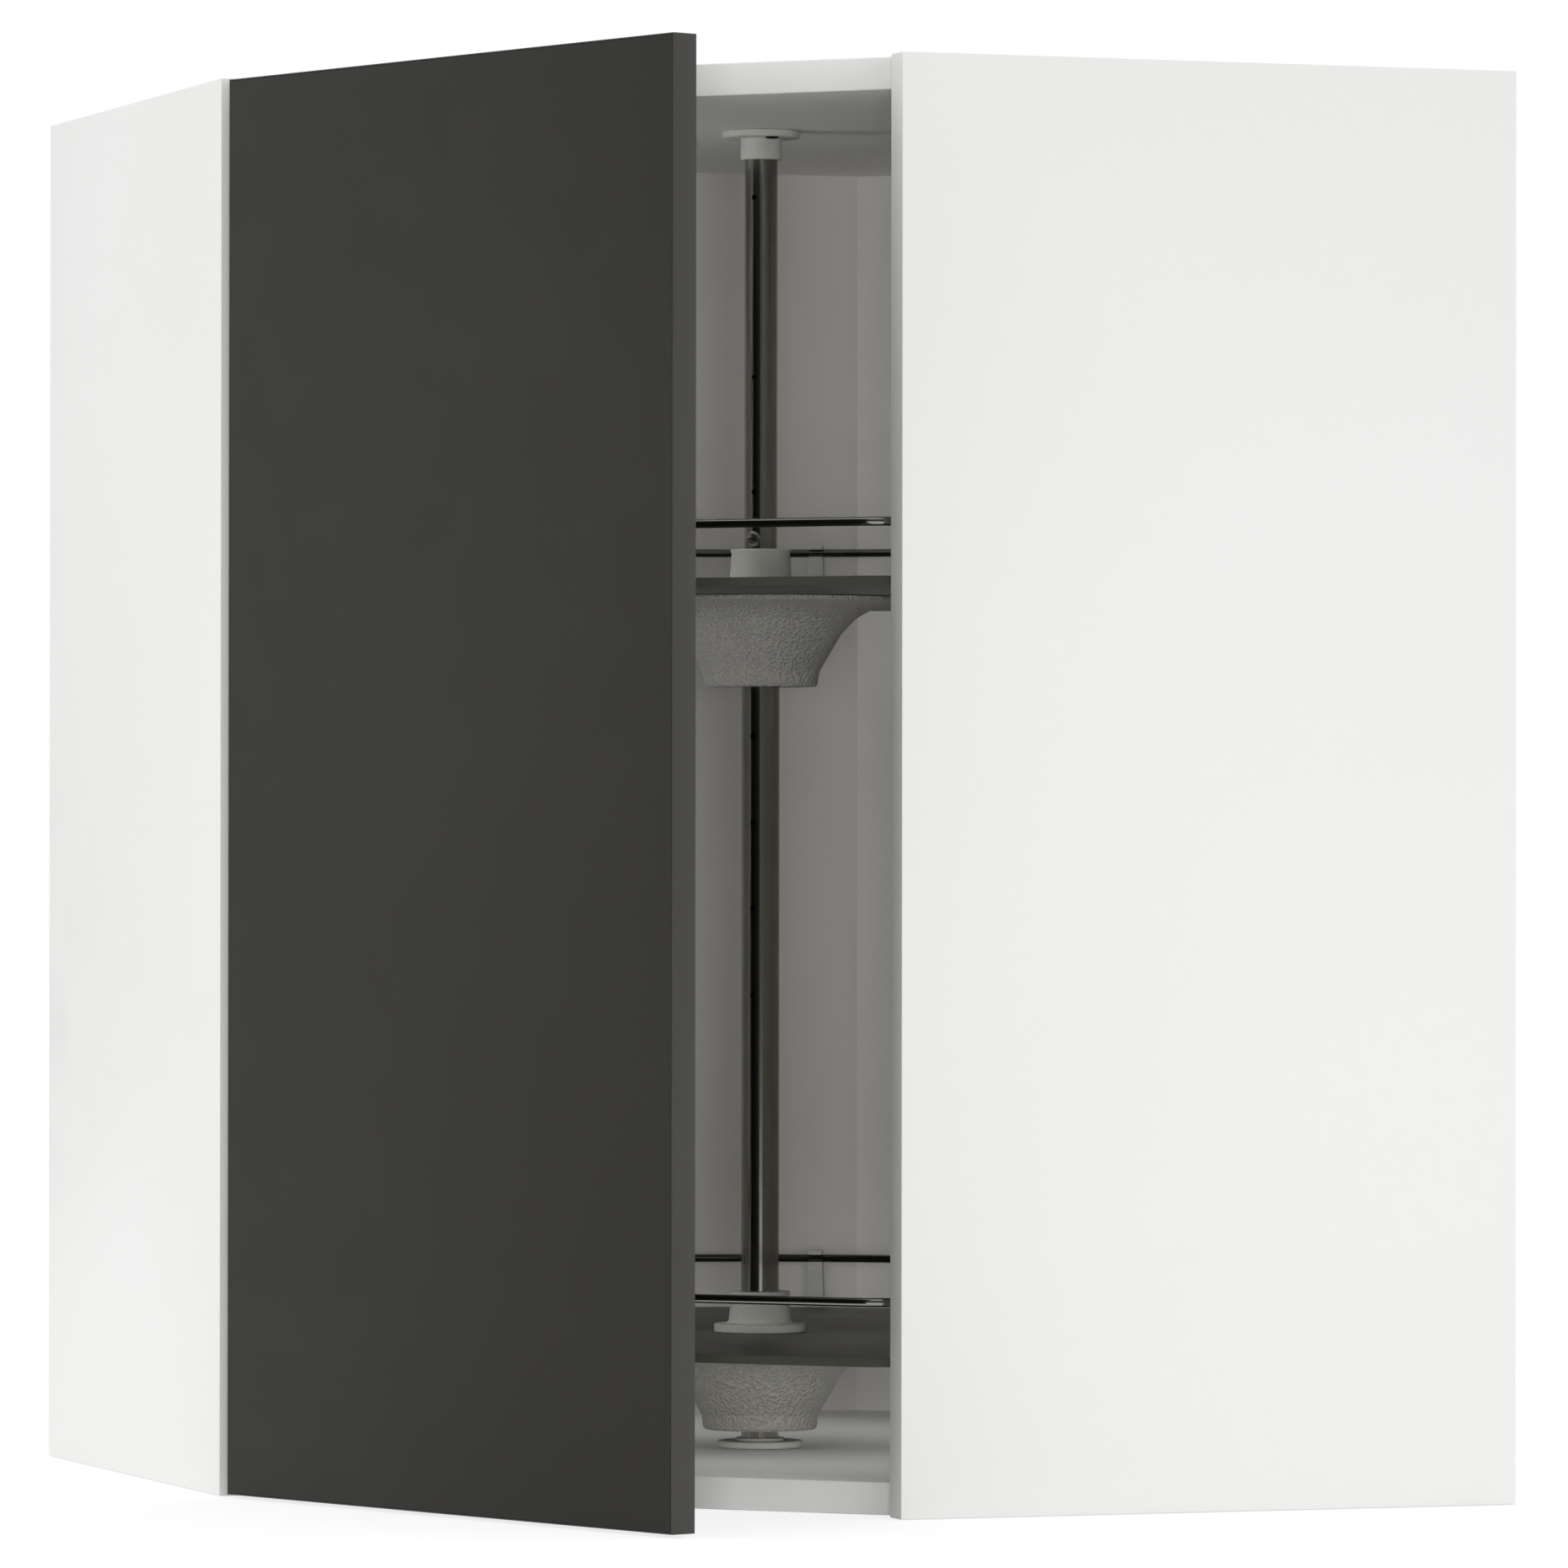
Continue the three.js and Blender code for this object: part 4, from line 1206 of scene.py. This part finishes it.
@dataclass(frozen=True)
class Outline:
    """A D-shaped outline: a round edge, a straight front, and two rounded corners between them."""

    radius: float
    chord: float
    corner: float
    arc_step: float = 0.004
    least_steps: int = 8

    @property
    def corner_middle(self) -> tuple[float, float]:
        """The place of the right corner's centre, along X and Y."""
        y = self.corner - self.chord
        return math.sqrt((self.radius - self.corner) ** 2 - y**2), y

    def sweep(self, shape: Shape, section: list[Vert | Edge]) -> list[Vert | Edge]:
        """Takes a section round the outline, from the front's right end to its left end.

        Args:
            shape: The shape that holds the section.
            section: The section's vertices and edges.

        Returns:
            The vertices and edges at the far end.
        """
        x, y = self.corner_middle
        turn = math.atan2(y, x)
        legs = [
            ((x, y, 0.0), self.corner, QUARTER_TURN + turn),
            ((0.0, 0.0, 0.0), self.radius, math.pi - 2 * turn),
            ((-x, y, 0.0), self.corner, QUARTER_TURN + turn),
        ]
        for centre, reach, angle in legs:
            steps = max(self.least_steps, round(reach * angle / self.arc_step))
            section = turned(shape, section, angle, steps, centre)
        return section


@dataclass
class Tray(Levelled):
    """One tray: D-shaped plate, rim wire on four clips, bowl below and collar above."""

    corner_radius: float = 0.04
    hole_radius: float = 0.02
    plate_edge: float = 0.001
    plate_corner_angle: float = math.radians(60)
    wire_radius: float = 0.0025
    wire_steps: int = 24
    clip_count: int = 4
    clip_edge: float = 0.00035
    foot_radius: float = 0.033
    foot_round: float = 0.0012
    # The bowl flares along a curve from its foot to its shoulder, which lies in from the rim. The curve's two
    # pulls are measured from those ends. The inside bends at the belly, by shares of the way out and up.
    flare_start: tuple[float, float] = (0.0025, 0.026)
    flare_end: tuple[float, float] = (0.016, 0.0072)
    flare_points: int = 28
    shoulder: tuple[float, float] = (0.029, 0.0058)
    belly: tuple[float, float] = (0.5, 0.6)
    bowl_wall: float = 0.0026
    bowl_edge: float = 0.0004
    bowl_corner_angle: float = math.radians(50)
    bowl_steps: int = 128
    bore_gap: float = 0.0005
    collar_neck: float = 0.018
    collar_top: float = 0.017
    collar_flange: float = 0.0046
    collar_fillet: float = 0.0028
    collar_fillet_steps: int = 6
    collar_lip: float = 0.0012
    spigot_gap: float = 0.0006

    def build(self) -> None:
        """Makes the tray's parts."""
        self.model.refine(self.node("tray_plate"), self.plate(), SMOKED_SHEET)
        self.model.refine(self.node("rim_wire"), self.wire(), WIRE_CHROME)
        self.model.refine(self.node("hub_bowl"), self.bowl(), GRAINED_PLASTIC)
        self.model.refine(self.node("hub_collar"), self.collar(), PLAIN_PLASTIC)
        for number in range(1, self.clip_count + 1):
            self.model.ease(self.node(f"rim_post_{number}"), self.clip_edge, PLAIN_PLASTIC, segments=2)

    def plate(self) -> Shape:
        """The D-shaped plate with its round hole."""
        whole = self.span("tray_plate")
        outline = Outline(whole.high.y, -whole.low.y, self.corner_radius)
        shape = bmesh.new()
        first = shape.verts.new((outline.corner_middle[0], whole.low.y, whole.high.z))
        last = next(item for item in outline.sweep(shape, [first]) if isinstance(item, Vert))
        shape.edges.new((last, first))
        bmesh.ops.create_circle(
            shape,
            cap_ends=False,
            radius=self.hole_radius,
            segments=FINE_STEPS,
            matrix=Matrix.Translation((0.0, 0.0, whole.high.z)),
        )
        bmesh.ops.triangle_fill(shape, edges=shape.edges, use_beauty=True, use_dissolve=False)
        raised = bmesh.ops.extrude_face_region(shape, geom=list(shape.faces))
        moved = [item for item in raised["geom"] if isinstance(item, Vert)]
        bmesh.ops.translate(shape, vec=(0.0, 0.0, -whole.size.z), verts=moved)
        bmesh.ops.recalc_face_normals(shape, faces=shape.faces)
        return rounded(shape, self.plate_edge, sharper_than=self.plate_corner_angle)

    def wire(self) -> Shape:
        """The rim wire, one closed loop."""
        whole = self.span("rim_wire")
        plate = self.span("tray_plate")
        inset = plate.high.y - whole.high.y + self.wire_radius
        outline = Outline(plate.high.y - inset, -plate.low.y - inset, self.corner_radius - inset)
        place = Matrix.Translation((outline.corner_middle[0], -outline.chord, whole.middle.z))
        shape = bmesh.new()
        ring = bmesh.ops.create_circle(
            shape, cap_ends=False, radius=self.wire_radius, segments=self.wire_steps, matrix=place @ TO_RIGHT
        )
        section = [*ring["verts"], *shape.edges]
        last = outline.sweep(shape, section)
        ends = [edge for edge in [*section, *last] if isinstance(edge, Edge) and edge.is_valid]
        bmesh.ops.bridge_loops(shape, edges=ends)
        bmesh.ops.recalc_face_normals(shape, faces=shape.faces)
        return shape

    def bowl(self) -> Shape:
        """The bowl: a foot that flares into a wide flange, hollow inside."""
        whole = self.span("hub_bowl")
        bore = self.model.span("lower_post_tube").high.x + self.bore_gap
        radius, height, wall = whole.high.x, whole.size.z, self.bowl_wall
        inner_foot = self.foot_radius - wall
        foot = Vector((self.foot_radius, self.foot_round))
        shoulder = Vector((radius, height)) - Vector(self.shoulder)
        pull_up = Vector((self.foot_radius, 0.0)) + Vector(self.flare_start)
        pull_out = shoulder - Vector(self.flare_end)
        flare = geometry.interpolate_bezier(foot, pull_up, pull_out, shoulder, self.flare_points)
        out, up = self.belly
        profile = [(bore, 0.0), (self.foot_radius - self.foot_round, 0.0)]
        profile += [(point.x, point.y) for point in flare]
        profile += [(radius, height - wall), (radius, height), (shoulder.x, height)]
        profile += [(inner_foot + (shoulder.x - self.foot_radius) * out, height * up)]
        profile += [(inner_foot, wall), (bore, wall)]
        shape = spun(profile, foot=whole.low.z, steps=self.bowl_steps)
        return rounded(shape, self.bowl_edge, segments=2, sharper_than=self.bowl_corner_angle)

    def collar(self) -> Shape:
        """The collar on the plate, with its spigot through the plate's hole."""
        whole = self.span("hub_collar")
        bore = self.span("post_tube").high.x + self.bore_gap
        seat = self.span("tray_plate").high.z + CLEAR
        flange_top = seat + self.collar_flange
        radius, top = whole.high.x, whole.high.z
        lip, fillet = self.collar_lip, self.collar_fillet
        spigot = self.hole_radius - self.spigot_gap
        profile = [(bore, whole.low.z), (spigot, whole.low.z), (spigot, seat), (radius, seat)]
        profile += quarter(radius - lip, flange_top - lip, lip)
        neck = quarter(self.collar_neck + fillet, flange_top + fillet, -fillet, self.collar_fillet_steps)
        profile += reversed(neck)
        profile += [(self.collar_top, top - 2 * lip), (self.collar_top + lip / 2, top - lip)]
        profile += quarter(self.collar_top, top - lip / 2, lip / 2)
        profile += [(bore, top)]
        return spun(profile)


# ---------------------------------------------------------------- the studio


@dataclass(frozen=True)
class SoftBox:
    """A soft lamp; its light is seen on the surfaces, and only a mirrored one is seen in reflections."""

    name: str
    place: tuple[float, float, float]
    aim: tuple[float, float, float]
    width: float
    height: float
    power: float
    mirrored: bool = False

    def build(self) -> None:
        """Makes the lamp."""
        light = bpy.data.lights.new(self.name, "AREA")
        light.shape = "RECTANGLE"
        light.size = self.width
        light.size_y = self.height
        light.energy = self.power
        lamp = shown(self.name, light)
        lamp.location = self.place
        lamp.rotation_euler = (Vector(self.aim) - Vector(self.place)).to_track_quat("-Z", "Y").to_euler()
        lamp.visible_glossy = self.mirrored


@dataclass
class Studio:
    """A white floor that runs to the horizon, soft lamps, and the camera."""

    floor_radius: float = 30.0
    floor_drop: float = 0.0005
    ambient: float = 0.97
    ambient_in_front: float = 0.12
    dark_inner: float = math.radians(36)
    dark_outer: float = math.radians(60)
    floor_tone: float = 0.8
    far_floor_tone: float = 0.06
    floor_fade: tuple[float, float] = (2.0, 4.0)
    shadow_share: float = 0.3
    glow: float = 0.79
    camera_place: tuple[float, float, float] = (2.2988, -4.8446, 0.3643)
    camera_azimuth: float = math.radians(25.239)
    camera_rise: float = math.radians(0.413)
    camera_roll: float = math.radians(0.06)
    lens: float = 212.06
    sensor: float = 36.0
    lamps: tuple[SoftBox, ...] = (
        SoftBox("left lamp", (-5.0, -2.5, 0.9), (0.0, 0.0, 0.4), 2.4, 2.4, 66.0, mirrored=True),
        SoftBox("right lamp", (4.3, -3.1, 0.9), (0.0, 0.0, 0.4), 2.4, 2.4, 54.0),
        SoftBox("front lamp", (2.0, -4.3, 0.3), (0.0, 0.0, 0.45), 0.9, 0.6, 52.0),
        SoftBox("upper strip", (-0.2, -0.14, 0.65), (0.1, 0.16, 0.65), 0.12, 0.24, 0.2),
        SoftBox("lower strip", (-0.2, -0.14, 0.3), (0.1, 0.16, 0.3), 0.12, 0.4, 0.22),
        SoftBox("floor strip", (0.0, 0.015, 0.0785), (0.0, 0.015, 0.0), 0.42, 0.48, 0.24),
    )

    def build(self) -> None:
        """Makes the lights, the floor and the camera."""
        bpy.context.scene.view_settings.view_transform = "Standard"
        self.world()
        self.floor()
        for lamp in self.lamps:
            lamp.build()
        self.camera()

    def seen(self, nodes: Nodes) -> Socket:
        """A value that is 1 where the camera sees the surface, straight or through glass.

        Args:
            nodes: The tree to add it to.

        Returns:
            The value.
        """
        path = nodes.add("ShaderNodeLightPath")
        rays = {0: path.outputs["Is Camera Ray"], 1: path.outputs["Is Transmission Ray"]}
        return nodes.add("ShaderNodeMath", rays, operation="MAXIMUM").outputs[0]

    def near(self, nodes: Nodes, here: float, far: float) -> Socket:
        """A value that changes with the distance from the object.

        Args:
            nodes: The tree to add it to.
            here: The value near the object.
            far: The value far away.

        Returns:
            The value.
        """
        place = nodes.add("ShaderNodeTexCoord").outputs["Object"]
        distance = nodes.add("ShaderNodeVectorMath", {0: place}, operation="LENGTH").outputs["Value"]
        return nodes.ranged(distance, self.floor_fade, (here, far), "SMOOTHSTEP")

    def world(self) -> None:
        """An even light all round but for a dark gap behind the camera, and white to look at."""
        world = bpy.data.worlds.new("studio")
        bpy.context.scene.world = world
        world.use_nodes = True
        nodes = Nodes(world.node_tree)
        white = nodes.tree.nodes["Background"]
        nodes.feed(white.inputs["Color"], WHITE)
        direction = nodes.add("ShaderNodeTexCoord").outputs["Generated"]
        ways = {0: direction, 1: Vector(self.camera_place).normalized()}
        toward_camera = nodes.add("ShaderNodeVectorMath", ways, operation="DOT_PRODUCT").outputs["Value"]
        gap = (math.cos(self.dark_outer), math.cos(self.dark_inner))
        strength = nodes.ranged(toward_camera, gap, (self.ambient, self.ambient_in_front), "SMOOTHSTEP")
        dim = nodes.add("ShaderNodeBackground", {"Color": WHITE, "Strength": strength})
        choices = {0: self.seen(nodes), 1: dim.outputs[0], 2: white.outputs[0]}
        mix = nodes.add("ShaderNodeMixShader", choices)
        nodes.feed(nodes.tree.nodes["World Output"].inputs["Surface"], mix.outputs[0])

    def floor_material(self) -> bpy.types.Material:
        """Pale grey near the object and dark far away, and white with a soft shadow to look at."""
        material = bpy.data.materials.new("studio floor")
        material.use_nodes = True
        nodes = Nodes(material.node_tree)
        nodes.tree.nodes.remove(nodes.tree.nodes["Principled BSDF"])
        tone = self.near(nodes, self.floor_tone, self.far_floor_tone)
        plain = nodes.add("ShaderNodeBsdfDiffuse", {"Color": tone})
        glossy = nodes.add("ShaderNodeLightPath").outputs["Is Glossy Ray"]
        close = {0: glossy, 1: self.near(nodes, 1.0, 0.0)}
        mirrored = nodes.add("ShaderNodeMath", close, operation="MULTIPLY").outputs[0]
        shadow = nodes.add("ShaderNodeBsdfDiffuse", {"Color": (*[self.shadow_share] * 3, 1.0)})
        glow = nodes.add("ShaderNodeEmission", {"Strength": self.glow})
        both = nodes.add("ShaderNodeAddShader", {0: shadow.outputs[0], 1: glow.outputs[0]})
        looks = {0: self.seen(nodes), 1: mirrored}
        looked_at = nodes.add("ShaderNodeMath", looks, operation="MAXIMUM").outputs[0]
        mix = nodes.add("ShaderNodeMixShader", {0: looked_at, 1: plain.outputs[0], 2: both.outputs[0]})
        nodes.feed(nodes.tree.nodes["Material Output"].inputs["Surface"], mix.outputs[0])
        return material

    def floor(self) -> None:
        """The round floor, just under the object."""
        shape = bmesh.new()
        place = Matrix.Translation((0.0, 0.0, -self.floor_drop))
        bmesh.ops.create_circle(
            shape, cap_ends=True, radius=self.floor_radius, segments=FINE_STEPS, matrix=place
        )
        mesh = meshed("studio_floor", shape)
        mesh.materials.append(self.floor_material())
        shown("studio_floor", mesh)

    def camera(self) -> None:
        """The camera, at the photograph's angle and distance."""
        azimuth, rise, roll = self.camera_azimuth, self.camera_rise, self.camera_roll
        level_ahead = Vector((-math.sin(azimuth), math.cos(azimuth), 0.0))
        ahead = level_ahead * math.cos(rise) + Vector((0.0, 0.0, math.sin(rise)))
        level = Vector((math.cos(azimuth), math.sin(azimuth), 0.0))
        right = level * math.cos(roll) + level.cross(ahead) * math.sin(roll)
        axes = Matrix((right, right.cross(ahead), -ahead)).transposed().to_4x4()
        lens = bpy.data.cameras.new("camera")
        lens.lens = self.lens
        lens.sensor_width = self.sensor
        camera = shown("camera", lens)
        camera.matrix_world = Matrix.Translation(self.camera_place) @ axes
        bpy.context.scene.camera = camera


def main() -> None:
    """Dresses the cabinet and sets the studio."""
    logging.basicConfig(level=logging.INFO, format="%(message)s")
    model = Model()
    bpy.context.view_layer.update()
    Studio().build()
    Carcass(model).build()
    Door(model).build()
    for level in Level:
        Hinge(model, level).build()
    Hangers(model).build()
    Post(model).build()
    for level in Level:
        Tray(model, level).build()


if __name__ == "__main__":
    main()
